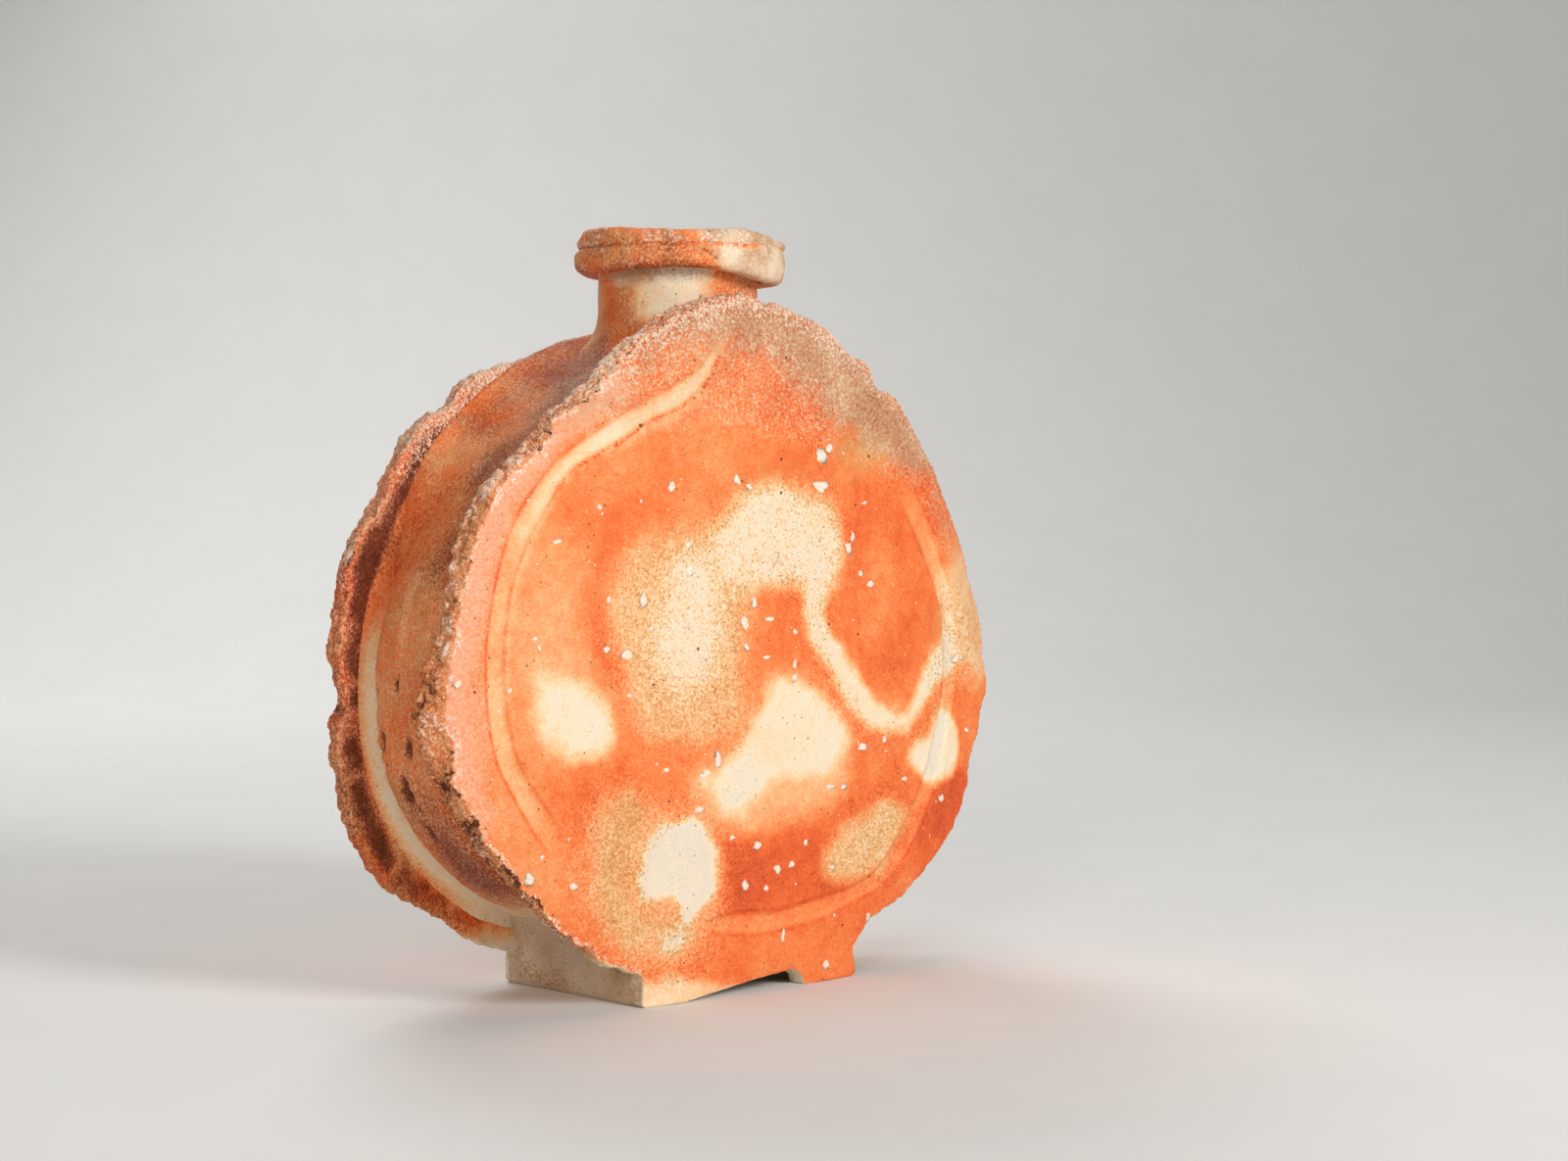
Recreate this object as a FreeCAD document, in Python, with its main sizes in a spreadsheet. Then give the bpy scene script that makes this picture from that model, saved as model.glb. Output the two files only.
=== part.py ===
import FreeCAD, Part
import Sketcher
import math
import os

# A slab-built stoneware pilgrim flask. Two torn-edged clay slabs, bowed outwards, are joined by a
# recessed strip wall. A thrown neck with a wrapped lip stands on the wall, and the slabs run down
# to a small foot. Millimetres, +Z up, front towards -Y, origin under the middle of the foot.

SIZES = [
    ("total_height", 275.0),
    ("body_half_depth", 42.0),
    # Mouth above the wall's top, and the wall's underside above the ground.
    ("neck_rise", 40.0),
    ("foot_rise", 16.0),
    # Clearance at every luted joint, and how far cutting shapes reach past what they cut.
    ("slip_joint", 0.2),
    ("overrun", 6.0),
    # Slabs: torn discs bowed about an upright axis.
    ("slab_half_width", 140.0),
    ("slab_thickness", 8.5),
    ("dome_rise", 16.0),
    # The finger-drawn line round the front face.
    ("stroke_width", 7.5),
    ("stroke_depth", 1.2),
    # Strip wall, set in from the slab edges, and the coils in its back corners.
    ("rim_overhang", 10.0),
    ("wall_thickness", 7.5),
    ("coil_size", 6.0),
    # Belt pressed over the wall, short of the back coil, the foot and the neck.
    ("belt_thickness", 3.0),
    ("belt_coil_gap", 0.8),
    ("belt_foot_gap", 10.0),
    ("belt_neck_gap", 31.0),
    # Thrown neck between the slabs, with a skirt that is trimmed to the wall.
    ("neck_slab_gap", 4.0),
    ("neck_wall", 6.5),
    ("neck_flare", 14.0),
    ("neck_flare_drop", 8.0),
    ("neck_skirt", 12.0),
    # Strip wrapped round the mouth, with a scored line.
    ("lip_thickness", 9.0),
    ("lip_height", 17.0),
    ("lip_edge", 3.0),
    ("score_height", 9.5),
    ("score_width", 3.0),
    ("score_depth", 1.2),
    # Foot: its ends stop below the wall's underside.
    ("foot_half_width", 51.5),
    ("foot_step", 5.0),
    ("foot_wall", 8.0),
    ("arch_height", 6.5),
]

# Torn outlines, clockwise from the left end of the foot as seen from the front. Each point is an
# angle in degrees about the body's centre, and its radius as a share of the slab's half width.
FRONT_EDGE_SHARES = [
    (236, 0.926), (225, 0.923), (215, 0.933), (208, 0.946), (200, 0.966), (194, 0.962), (189, 0.956),
    (183, 0.930), (177, 0.903), (171, 0.895), (164, 0.888), (157, 0.876), (153, 0.872), (149.5, 0.848),
    (144, 0.833), (137, 0.838), (130, 0.819), (125, 0.820), (120, 0.838), (115, 0.843), (110, 0.860),
    (101, 0.878), (94, 0.888), (89, 0.882), (86.5, 0.858), (83.5, 0.870), (76, 0.867), (69, 0.856),
    (64, 0.839), (58.5, 0.846), (55, 0.818), (50, 0.848), (43, 0.845), (35, 0.850), (26, 0.864),
    (17, 0.886), (8, 0.918), (1, 0.960), (355, 0.984), (350, 1.012), (346.5, 0.998), (342, 1.003),
    (338.5, 0.981), (333, 1.000), (328, 1.006), (322, 0.982), (314, 0.952), (306, 0.918), (300, 0.894),
]
BACK_EDGE_SHARES = [
    (235.5, 0.940), (228, 0.952), (222, 0.990), (217, 1.018), (210, 1.040), (204, 1.048), (200, 1.038),
    (196, 1.034), (191, 1.016), (188.5, 0.990), (186, 0.986), (182, 1.000), (175, 0.989), (167, 0.976),
    (160, 0.938), (153, 0.906), (144, 0.902), (139.5, 0.884), (136, 0.856), (130, 0.858), (122, 0.832),
    (113, 0.802), (102, 0.806), (90, 0.818), (78, 0.812), (67, 0.834), (58, 0.850), (53, 0.834),
    (47, 0.862), (37, 0.874), (27, 0.902), (18, 0.926), (12, 0.930), (4, 0.972), (356, 0.998),
    (349, 1.014), (345, 0.996), (340, 1.022), (333, 1.024), (325, 1.004), (317, 0.976), (312, 0.944),
    (306, 0.926), (300, 0.900),
]
# The wall's outer face from the top round the left to the bottom, mirrored on the right, as angles
# and shares of the wall's half width.
WALL_EDGE_SHARES = [
    (90, 0.823), (105, 0.819), (120, 0.823), (135, 0.840), (150, 0.876), (165, 0.920), (178, 0.958),
    (190, 0.990), (201, 1.004), (212, 0.988), (223, 0.953), (236, 0.910), (253, 0.873), (270, 0.862),
]
# Middle lines of the two finger strokes on the front face, as the outlines are given.
LEFT_STROKE_SHARES = [
    (97.5, 0.772), (103, 0.714), (111, 0.676), (122, 0.671), (134, 0.690), (146, 0.720), (159, 0.740),
    (172, 0.754), (185, 0.769), (198, 0.784), (210, 0.789), (222, 0.781),
]
RIGHT_STROKE_SHARES = [
    (256, 0.739), (267, 0.745), (278, 0.751), (290, 0.767), (302, 0.794), (315, 0.812), (328, 0.812),
    (341, 0.798), (354, 0.780), (8, 0.760), (20, 0.728), (31, 0.696), (41, 0.676),
]
# The arch under the foot: places across the half width, and heights, as shares.
ARCH_SHARES = [(-0.66, 0.0), (-0.38, 0.34), (0.0, 0.74), (0.36, 1.0), (0.46, 0.50), (0.48, 0.0)]

FRONT, BACK = -1, 1
# How many points of a torn edge one smooth run takes in.
TORN_RUN = 7

# Sizes that follow from the sheet, as expressions.
NOTHING = "0 * sizes.overrun"
DOME_RADIUS = "(sizes.slab_half_width ^ 2 + sizes.dome_rise ^ 2) / (2 * sizes.dome_rise)"
SEAT = "(sizes.slab_thickness + sizes.slip_joint)"
WALL_TOP = "(sizes.total_height - sizes.neck_rise)"
FLARE_HEIGHT = f"({WALL_TOP} - sizes.neck_flare_drop)"
NECK_RADIUS = "(sizes.body_half_depth - sizes.slab_thickness - sizes.neck_slab_gap)"
MOUTH_RADIUS = f"({NECK_RADIUS} - sizes.neck_wall)"
LIP_RADIUS = f"({NECK_RADIUS} + sizes.lip_thickness)"
COIL_FRONT = f"({SEAT} + sizes.coil_size)"
BELT_BACK = f"(sizes.body_half_depth - sizes.dome_rise - {COIL_FRONT} - sizes.belt_coil_gap)"
BELT_BOTTOM = "(sizes.foot_rise + sizes.belt_foot_gap)"
BELT_TOP = f"({WALL_TOP} - sizes.belt_neck_gap)"
REACH_ACROSS = "(sizes.slab_half_width + sizes.overrun)"
REACH_DEEP = "(sizes.body_half_depth + sizes.overrun)"
REACH_TALL = "(sizes.total_height + 2 * sizes.overrun)"

document = FreeCAD.newDocument("pilgrim_flask")
sheet = document.addObject("Spreadsheet::Sheet", "sizes")
for row, (alias, value) in enumerate(SIZES, start=1):
    sheet.set(f"A{row}", alias)
    sheet.set(f"B{row}", str(value))
    sheet.setAlias(f"B{row}", alias)
document.recompute()


def size(expression):
    return float(sheet.evalExpression(expression))


# The wall's half width, the like measure of its height, and the height of the body's centre.
top_share, bottom_share = WALL_EDGE_SHARES[0][1], WALL_EDGE_SHARES[-1][1]
half_across = size("sizes.slab_half_width - sizes.rim_overhang")
half_tall = size(f"{WALL_TOP} - sizes.foot_rise") / (top_share + bottom_share)
centre_height = size("sizes.foot_rise") + bottom_share * half_tall


def around(angle, share, overhang, grow=0):
    # A point round the body's centre: the wall's face, or past it by a slab's overhang.
    turn = math.radians(angle)
    across = share * (half_across + overhang) + grow
    tall = share * (half_tall + overhang) + grow
    return FreeCAD.Vector(across * math.cos(turn), 0, centre_height + tall * math.sin(turn))


def add(kind, name, **expressions):
    # Adds an object, with its sizes bound to the sheet.
    thing = document.addObject(kind, name)
    thing.Label = name
    for path, expression in expressions.items():
        thing.setExpression(path.replace("_", "."), expression)
    return thing


def block(name, across, deep, tall, left, front, bottom):
    return add(
        "Part::Box",
        name,
        Length=across,
        Width=deep,
        Height=tall,
        Placement_Base_x=left,
        Placement_Base_y=front,
        Placement_Base_z=bottom,
    )


def cut(name, base, tool):
    thing = add("Part::Cut", name)
    thing.Base = base
    thing.Tool = tool
    return thing


def common(name, *shapes):
    thing = add("Part::MultiCommon", name)
    thing.Shapes = list(shapes)
    return thing


def curve(points, closed=False):
    spline = Part.BSplineCurve()
    spline.interpolate(Points=points, PeriodicFlag=closed)
    return spline.toShape()


def torn_curves(points):
    # A torn edge: short smooth runs that meet at corners.
    last = len(points) - 1
    return [curve(points[start:start + TORN_RUN + 1]) for start in range(0, last, TORN_RUN)]


def straight_lines(points):
    return [Part.LineSegment(a, b).toShape() for a, b in zip(points, points[1:])]


def upright_face(name, outer, hole=None):
    # A flat face in the XZ plane, bounded by edges whose sizes are read from the sheet.
    face = Part.Face(Part.Wire(outer))
    if hole:
        face = face.cut(Part.Face(Part.Wire(hole)))
    thing = add("Part::Feature", name)
    thing.Shape = face
    return thing


def through(name, face, sides=(FRONT, BACK)):
    # Pulls an upright face along Y, out past the body on the given sides.
    thing = add("Part::Extrusion", name)
    thing.Base = face
    thing.DirMode = "Custom"
    thing.Dir = FreeCAD.Vector(0, BACK, 0)
    thing.Solid = True
    lengths = {FRONT: "LengthRev", BACK: "LengthFwd"}
    for side, length in lengths.items():
        thing.setExpression(length, REACH_DEEP if side in sides else NOTHING)
    return thing


def drum(name, side, inset):
    # An upright drum whose near side is the slab's bowed outer face, moved in by inset.
    return add(
        "Part::Cylinder",
        name,
        Radius=f"{DOME_RADIUS} - ({inset})",
        Height=REACH_TALL,
        Placement_Base_y=f"{-side} * ({DOME_RADIUS} - sizes.body_half_depth)",
        Placement_Base_z="-sizes.overrun",
    )


def slab_face(name, edge_shares):
    # A slab's torn outline, with the foot's straight ends and arched sole below it.
    overhang, foot = size("sizes.rim_overhang"), size("sizes.foot_half_width")
    top, arch = size("sizes.foot_rise - sizes.foot_step"), size("sizes.arch_height")
    left_top = FreeCAD.Vector(-foot, 0, top)
    right_top = FreeCAD.Vector(foot, 0, top)
    torn = [around(angle, share, overhang) for angle, share in edge_shares]
    arched = [FreeCAD.Vector(x * foot, 0, z * arch) for x, z in reversed(ARCH_SHARES)]
    sole = [FreeCAD.Vector(foot, 0, 0)] + arched + [FreeCAD.Vector(-foot, 0, 0)]
    edges = torn_curves([left_top] + torn + [right_top])
    return upright_face(name, edges + straight_lines([right_top] + sole + [left_top]))


def slab(name, side, edge_shares):
    blank = through(f"{name}_blank", slab_face(f"{name}_face", edge_shares), [side])
    bowed = common(f"{name}_bowed", blank, drum(f"{name}_outside", side, NOTHING))
    return cut(name, bowed, drum(f"{name}_inside", side, "sizes.slab_thickness"))


def stroke_face(name, stroke_shares):
    # A band of even width along a finger stroke.
    overhang, grow = size("sizes.rim_overhang"), size("sizes.stroke_width / 2")
    outer = [around(angle, share, overhang, grow) for angle, share in stroke_shares]
    inner = [around(angle, share, overhang, -grow) for angle, share in stroke_shares]
    ends = straight_lines([outer[0], inner[0]]) + straight_lines([outer[-1], inner[-1]])
    return upright_face(name, [curve(outer), ends[1], curve(inner), ends[0]])


def front_slab():
    floor = drum("stroke_floor", FRONT, "sizes.stroke_depth")
    drawn = slab("front_plate", FRONT, FRONT_EDGE_SHARES)
    strokes = {"left_stroke": LEFT_STROKE_SHARES, "right_stroke": RIGHT_STROKE_SHARES}
    for name, stroke_shares in strokes.items():
        band = through(f"{name}_band", stroke_face(f"{name}_face", stroke_shares), [FRONT])
        drawn = cut(f"{name}_drawn", drawn, cut(name, band, floor))
    drawn.Label = "front_slab"
    return drawn


def wall_loop(grow):
    # The wall's outer face as a closed curve, moved outwards by grow.
    left = [around(angle, share, 0, grow) for angle, share in WALL_EDGE_SHARES]
    right = [FreeCAD.Vector(-point.x, 0, point.z) for point in left[-2:0:-1]]
    return [curve(left + right, closed=True)]


def wall_band(name, outside, thickness):
    # A closed strip that follows the wall, from its outside inwards.
    face = upright_face(f"{name}_face", wall_loop(outside), wall_loop(outside - thickness))
    return through(name, face)


def halves(piece, whole, front, back, bottom, top):
    # The left and right halves of a closed strip between two depths and two heights.
    starts = {"left": f"-{REACH_ACROSS} - sizes.slip_joint / 2", "right": "sizes.slip_joint / 2"}
    made = []
    for side, start in starts.items():
        window = block(
            f"{side}_{piece}_window",
            REACH_ACROSS,
            f"{back} - ({front})",
            f"{top} - ({bottom})",
            start,
            front,
            bottom,
        )
        made.append(common(f"{side}_{piece}", whole, window))
    return made


def walls(between):
    band = wall_band("wall_band", size(NOTHING), size("sizes.wall_thickness"))
    mouth = add(
        "Part::Cylinder",
        "mouth_hole",
        Radius=MOUTH_RADIUS,
        Height=WALL_TOP,
        Placement_Base_z=f"{WALL_TOP} / 2",
    )
    opened = cut("wall_opened", common("wall_ring", band, between), mouth)
    return halves("wall", opened, f"-{REACH_DEEP}", REACH_DEEP, "-sizes.overrun", REACH_TALL)


def belts(between):
    thickness = size("sizes.belt_thickness")
    band = wall_band("belt_band", size("sizes.slip_joint") + thickness, thickness)
    ring = common("belt_ring", band, between)
    return halves("belt", ring, f"-{REACH_DEEP}", BELT_BACK, BELT_BOTTOM, BELT_TOP)


def back_coil(name, outside, between):
    # A coil along the wall that fills its corner with the back slab.
    ring = common(f"{name}_ring", wall_band(f"{name}_band", outside, size("sizes.coil_size")), between)
    return cut(name, ring, drum(f"{name}_front", BACK, COIL_FRONT))


def coves(between):
    coil = back_coil("outer_joint_coil", size("sizes.slip_joint + sizes.coil_size"), between)
    return halves("cove", coil, NOTHING, REACH_DEEP, BELT_BOTTOM, BELT_TOP)


def turned(name, corners, hollow=None):
    # A body turned about Z from a profile whose corners are radius and height expressions. The side
    # after the corner numbered hollow is a hollow quarter round instead of a straight line.
    body = add("PartDesign::Body", name)
    sketch = body.newObject("Sketcher::SketchObject", f"{name}_profile")
    plane = next(feature for feature in body.Origin.OriginFeatures if feature.Role == "XZ_Plane")
    sketch.AttachmentSupport = [(plane, "")]
    sketch.MapMode = "FlatFace"
    places = [FreeCAD.Vector(size(radius), size(height), 0) for radius, height in corners]
    origin, start, end = -1, 1, 2
    ends = []
    for side, place in enumerate(places):
        following = places[(side + 1) % len(places)]
        if side == hollow:
            centre = FreeCAD.Vector(place.x, following.y, 0)
            circle = Part.Circle(centre, FreeCAD.Vector(0, 0, 1), place.x - following.x)
            sketch.addGeometry(Part.ArcOfCircle(circle, math.pi, 1.5 * math.pi))
            ends.append((end, start))
        else:
            sketch.addGeometry(Part.LineSegment(place, following))
            ends.append((start, end))
    for side, place in enumerate(places):
        following = (side + 1) % len(places)
        joint = Sketcher.Constraint("Coincident", side, ends[side][1], following, ends[following][0])
        sketch.addConstraint(joint)
        for kind, value, expression in zip(("DistanceX", "DistanceY"), place, corners[side]):
            distance = Sketcher.Constraint(kind, origin, start, side, ends[side][0], value)
            sketch.setExpression(f"Constraints[{sketch.addConstraint(distance)}]", expression)
    if hollow is not None:
        radius = Sketcher.Constraint("Radius", hollow, size("sizes.neck_flare"))
        sketch.setExpression(f"Constraints[{sketch.addConstraint(radius)}]", "sizes.neck_flare")
    turn = body.newObject("PartDesign::Revolution", f"{name}_turn")
    turn.Profile = sketch
    turn.ReferenceAxis = (sketch, ["V_Axis"])
    return body


def neck(between, filled):
    # Trimmed by the slabs in front and behind, and by the wall that its skirt straddles.
    skirt = f"{NECK_RADIUS} + sizes.neck_flare"
    corners = [
        (MOUTH_RADIUS, f"{FLARE_HEIGHT} - sizes.neck_skirt"),
        (skirt, f"{FLARE_HEIGHT} - sizes.neck_skirt"),
        (skirt, FLARE_HEIGHT),
        (NECK_RADIUS, f"{FLARE_HEIGHT} + sizes.neck_flare"),
        (NECK_RADIUS, "sizes.total_height"),
        (MOUTH_RADIUS, "sizes.total_height"),
    ]
    tube = turned("neck_tube", corners, hollow=2)
    return cut("neck", common("neck_between", tube, between), filled)


def lip_band():
    inside = f"{NECK_RADIUS} + sizes.slip_joint"
    bottom = "sizes.total_height - sizes.lip_height"
    score = f"{bottom} + sizes.score_height"
    corners = [
        (inside, bottom),
        (f"{LIP_RADIUS} - sizes.lip_edge", bottom),
        (LIP_RADIUS, f"{bottom} + sizes.lip_edge"),
        (LIP_RADIUS, f"{score} - sizes.score_width / 2"),
        (f"{LIP_RADIUS} - sizes.score_depth", score),
        (LIP_RADIUS, f"{score} + sizes.score_width / 2"),
        (LIP_RADIUS, "sizes.total_height - sizes.lip_edge"),
        (f"{LIP_RADIUS} - sizes.lip_edge", "sizes.total_height"),
        (inside, "sizes.total_height"),
    ]
    return turned("lip_band", corners)


def feet(between, filled):
    starts = {
        "left_foot": "-sizes.foot_half_width",
        "right_foot": "sizes.foot_half_width - sizes.foot_wall",
    }
    made = []
    for name, start in starts.items():
        strip = block(
            f"{name}_strip",
            "sizes.foot_wall",
            f"2 * {REACH_DEEP}",
            "2 * sizes.foot_rise",
            start,
            f"-{REACH_DEEP}",
            NOTHING,
        )
        made.append(cut(name, common(f"{name}_between", strip, between), filled))
    return made


# The space between the slabs, and all that lies inside the wall, each with its slip.
between_slabs = common("between_slabs", drum("front_seat", FRONT, SEAT), drum("back_seat", BACK, SEAT))
filled_face = upright_face("wall_filled_face", wall_loop(size("sizes.slip_joint")))
wall_filled = through("wall_filled", filled_face)

sub_parts = [front_slab(), slab("back_slab", BACK, BACK_EDGE_SHARES)]
sub_parts += walls(between_slabs) + belts(between_slabs) + coves(between_slabs)
wall_inside = -size("sizes.wall_thickness + sizes.slip_joint")
sub_parts.append(back_coil("inner_joint_coil", wall_inside, between_slabs))
sub_parts += [neck(between_slabs, wall_filled), lip_band()] + feet(between_slabs, wall_filled)

document.recompute()
for thing in document.Objects:
    if "Invalid" in thing.State or "Error" in thing.State:
        raise RuntimeError(f"{thing.Label} did not build: {thing.State}")
for sub_part in sub_parts:
    if sub_part.Shape.isNull() or not sub_part.Shape.isValid():
        raise RuntimeError(f"{sub_part.Label} has no valid shape")

os.makedirs("parts", exist_ok=True)
for sub_part in sub_parts:
    sub_part.Shape.exportStep(f"parts/{sub_part.Label}.step")
    print(sub_part.Label, len(sub_part.Shape.Solids), round(sub_part.Shape.Volume))
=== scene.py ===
import math
import bpy
import bmesh
import numpy as np
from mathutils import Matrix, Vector, kdtree
from mathutils.bvhtree import BVHTree
from mathutils.geometry import delaunay_2d_cdt


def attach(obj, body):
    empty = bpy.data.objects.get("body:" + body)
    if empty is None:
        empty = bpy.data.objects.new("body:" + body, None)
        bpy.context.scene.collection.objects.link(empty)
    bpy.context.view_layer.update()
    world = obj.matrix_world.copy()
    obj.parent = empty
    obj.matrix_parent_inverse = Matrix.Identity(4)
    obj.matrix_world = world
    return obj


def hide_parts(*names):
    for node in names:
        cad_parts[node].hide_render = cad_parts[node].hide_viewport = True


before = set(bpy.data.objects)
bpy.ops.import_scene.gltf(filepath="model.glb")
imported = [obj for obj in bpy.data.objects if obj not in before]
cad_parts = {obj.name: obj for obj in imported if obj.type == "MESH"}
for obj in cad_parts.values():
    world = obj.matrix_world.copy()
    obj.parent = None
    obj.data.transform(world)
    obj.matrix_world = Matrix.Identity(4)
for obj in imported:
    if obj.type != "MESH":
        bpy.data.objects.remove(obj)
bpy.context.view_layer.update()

mm = 0.001
print("frame loaded,", len(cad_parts), "solids")

# Sizes of the flask in mm, as the solids have them. Front is -Y.
body = {
    "halfWide": 140.0,
    "halfTall": 139.97,
    "wallHalf": 130.0,
    "centreHigh": 128.03,
    "domeRadius": 620.5,
    "halfDeep": 42.0,
    "slabThick": 8.5,
    "topLean": 2.4,      # how far the tops of the slabs lean in
    "leanFrom": 175.0,   # heights where that starts and is full
    "leanFull": 250.0,
    "footHalf": 51.5,
    "footEnd": 11.0,
    "archHigh": 6.5,
    "height": 275.0,
    "farOut": 200.0,     # no face reaches past this
}

# The camera, fitted to the photo. Pixels are of the 1600 x 1185 frame.
shot = {
    "position": (-693.3, -797.5, 174.9),
    "heading": 43.09,
    "dip": 1.43,
    "lens": 65.26,
    "sensor": 36.0,
    "wide": 1600,
    "tall": 1185,
    "tries": 12,         # steps to find where a line of sight meets a bowed face
}


def addCamera():
    data = bpy.data.cameras.new("flaskCamera")
    data.sensor_fit = "HORIZONTAL"
    data.sensor_width = shot["sensor"]
    data.lens = shot["lens"]
    data.clip_start = 0.01
    camera = bpy.data.objects.new("flaskCamera", data)
    camera.location = [v * mm for v in shot["position"]]
    camera.rotation_euler = (math.radians(90 - shot["dip"]), 0, -math.radians(shot["heading"]))
    bpy.context.scene.collection.objects.link(camera)
    bpy.context.scene.camera = camera


addCamera()
print("camera set")


# Shape rules of the body

def bowed(x, radius):
    # how far a bowed face falls back at x
    return radius - np.sqrt(radius * radius - np.square(x))


def leanIn(z):
    high = np.clip((z - body["leanFrom"]) / (body["leanFull"] - body["leanFrom"]), 0, 1.2)
    return body["topLean"] * high * high


def outerDepth(x, z):
    return body["halfDeep"] - bowed(x, body["domeRadius"]) - leanIn(z)


def innerDepth(x, z):
    inside = body["domeRadius"] - body["slabThick"]
    return body["halfDeep"] - body["slabThick"] - bowed(x, inside) - leanIn(z)


def facePoint(angle, share, wide=body["halfWide"], tall=body["halfTall"]):
    # a place round the body from its angle and its share of the half sizes
    turn = math.radians(angle)
    return share * wide * math.cos(turn), body["centreHigh"] + share * tall * math.sin(turn)


def photoToFace(px, py, behind=0.0):
    # where the line of sight through a pixel meets the front slab, or a sheet behind it, as (x, z)
    turn, dip = math.radians(shot["heading"]), math.radians(shot["dip"])
    ahead = Vector((math.sin(turn) * math.cos(dip), math.cos(turn) * math.cos(dip), -math.sin(dip)))
    right = Vector((math.cos(turn), -math.sin(turn), 0))
    up = right.cross(ahead)
    focal = shot["lens"] / shot["sensor"] * shot["wide"]
    sight = ahead * focal + right * (px - shot["wide"] / 2) + up * (shot["tall"] / 2 - py)
    eye = Vector(shot["position"])
    reach = -(eye.y + body["halfDeep"]) / sight.y
    for i in range(shot["tries"]):
        spot = eye + sight * reach
        x = max(-body["farOut"], min(body["farOut"], spot.x))
        reach = (behind - float(outerDepth(x, spot.z)) - eye.y) / sight.y
    spot = eye + sight * reach
    return spot.x, spot.z


# Noise for clay, all of it seeded. Points are rows of x, y, z in mm.

def latticeValues(cell, seed):
    mix = cell[:, 0] * 374761393 + cell[:, 1] * 668265263 + cell[:, 2] * 1440662683 + seed * 974634541
    mix = (mix ^ (mix >> 13)) * 1274126177
    mix = mix ^ (mix >> 16)
    return (mix & 0xffff) / 32767.5 - 1.0


def lumps(points, size, seed):
    # smooth lumps of one size, about -1 to 1
    place = points / size + 0.37
    cell = np.floor(place).astype(np.int64)
    part = place - cell
    ease = part * part * (3 - 2 * part)
    total = np.zeros(len(points))
    for corner in np.ndindex(2, 2, 2):
        share = np.ones(len(points))
        for axis in range(3):
            share = share * (ease[:, axis] if corner[axis] else 1 - ease[:, axis])
        total += share * latticeValues(cell + np.array(corner), seed)
    return total


def roughLumps(points, size, seed, rounds=3):
    # lumps on lumps, each round half the size
    total = np.zeros(len(points))
    for i in range(rounds):
        total += 0.5 ** i * lumps(points, size / 2 ** i, seed + 11 * i)
    return total


def nearestGrain(points, size, seed):
    # distance to the nearest of scattered grains, in grain sizes, and that grain's own value, -1 to 1
    place = points / size
    cell = np.floor(place).astype(np.int64)
    nearest, own = np.full(len(points), 9.0), np.zeros(len(points))
    for step in np.ndindex(3, 3, 3):
        near = cell + np.array(step) - 1
        jitter = np.stack([latticeValues(near, seed + 31 * axis) for axis in range(3)], 1) * 0.5 + 0.5
        gap = np.square(near + jitter - place).sum(1)
        own = np.where(gap < nearest, latticeValues(near, seed + 97), own)
        nearest = np.minimum(nearest, gap)
    return np.sqrt(nearest), own


def grains(points, size, seed):
    return nearestGrain(points, size, seed)[0]


def eased(value, low, high):
    t = np.clip((value - low) / (high - low), 0, 1)
    return t * t * (3 - 2 * t)


def ridge(gap, width):
    # 1 where the gap is 0, falling off over the width
    return np.exp(-np.square(gap / width))


# Runs and outlines
spanSteps = 24    # fine steps between two given points of a smooth line
patchStep = 3.0   # mm between the points round a mark of the fire


def smoothRun(points, spacing):
    # a smooth line through the points, in even steps
    p = np.array(points, float)
    p = np.vstack([2 * p[0] - p[1], p, 2 * p[-1] - p[-2]])
    fine = []
    for i in range(1, len(p) - 2):
        t = np.linspace(0, 1, spanSteps, endpoint=False)[:, None]
        a, b, c, d = p[i - 1], p[i], p[i + 1], p[i + 2]
        fine.append(0.5 * (2 * b + (c - a) * t + (2 * a - 5 * b + 4 * c - d) * t * t
                           + (3 * b - a - 3 * c + d) * t ** 3))
    return evenSteps(np.vstack(fine + [p[-2][None]]), spacing)


def evenSteps(line, spacing):
    gone = np.concatenate([[0], np.cumsum(np.linalg.norm(np.diff(line, axis=0), axis=1))])
    count = max(2, int(round(gone[-1] / spacing)) + 1)
    at = np.linspace(0, gone[-1], count)
    return np.stack([np.interp(at, gone, line[:, k]) for k in range(line.shape[1])], 1)


def outwardOf(loop, reach):
    # outward directions round a closed loop that runs clockwise seen from the front
    ahead = np.roll(loop, -reach, 0) - np.roll(loop, reach, 0)
    ahead /= np.linalg.norm(ahead, axis=1)[:, None]
    return np.stack([-ahead[:, 1], ahead[:, 0]], 1)


def gapToLine(spots, line):
    # distance from each spot to an open line, and how far along it the nearest place is
    best = np.full(len(spots), 1e9)
    along = np.zeros(len(spots))
    for i in range(len(line) - 1):
        a, run = line[i], line[i + 1] - line[i]
        t = np.clip(((spots - a) @ run) / max(run @ run, 1e-9), 0, 1)
        gap = np.linalg.norm(spots - a - t[:, None] * run, axis=1)
        closer = gap < best
        best = np.where(closer, gap, best)
        along = np.where(closer, (i + t) / (len(line) - 1), along)
    return best, along


def gapToPatch(spots, ring):
    # signed distance to a closed patch, negative inside
    closed = np.vstack([ring, ring[:1]])
    gap = gapToLine(spots, closed)[0]
    inside = np.zeros(len(spots), bool)
    for (ax, az), (bx, bz) in zip(closed[:-1], closed[1:]):
        if az == bz:
            continue
        crosses = (az > spots[:, 1]) != (bz > spots[:, 1])
        inside ^= crosses & (spots[:, 0] < (bx - ax) * (spots[:, 1] - az) / (bz - az) + ax)
    return np.where(inside, -gap, gap)


# Pieces and paint

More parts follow.
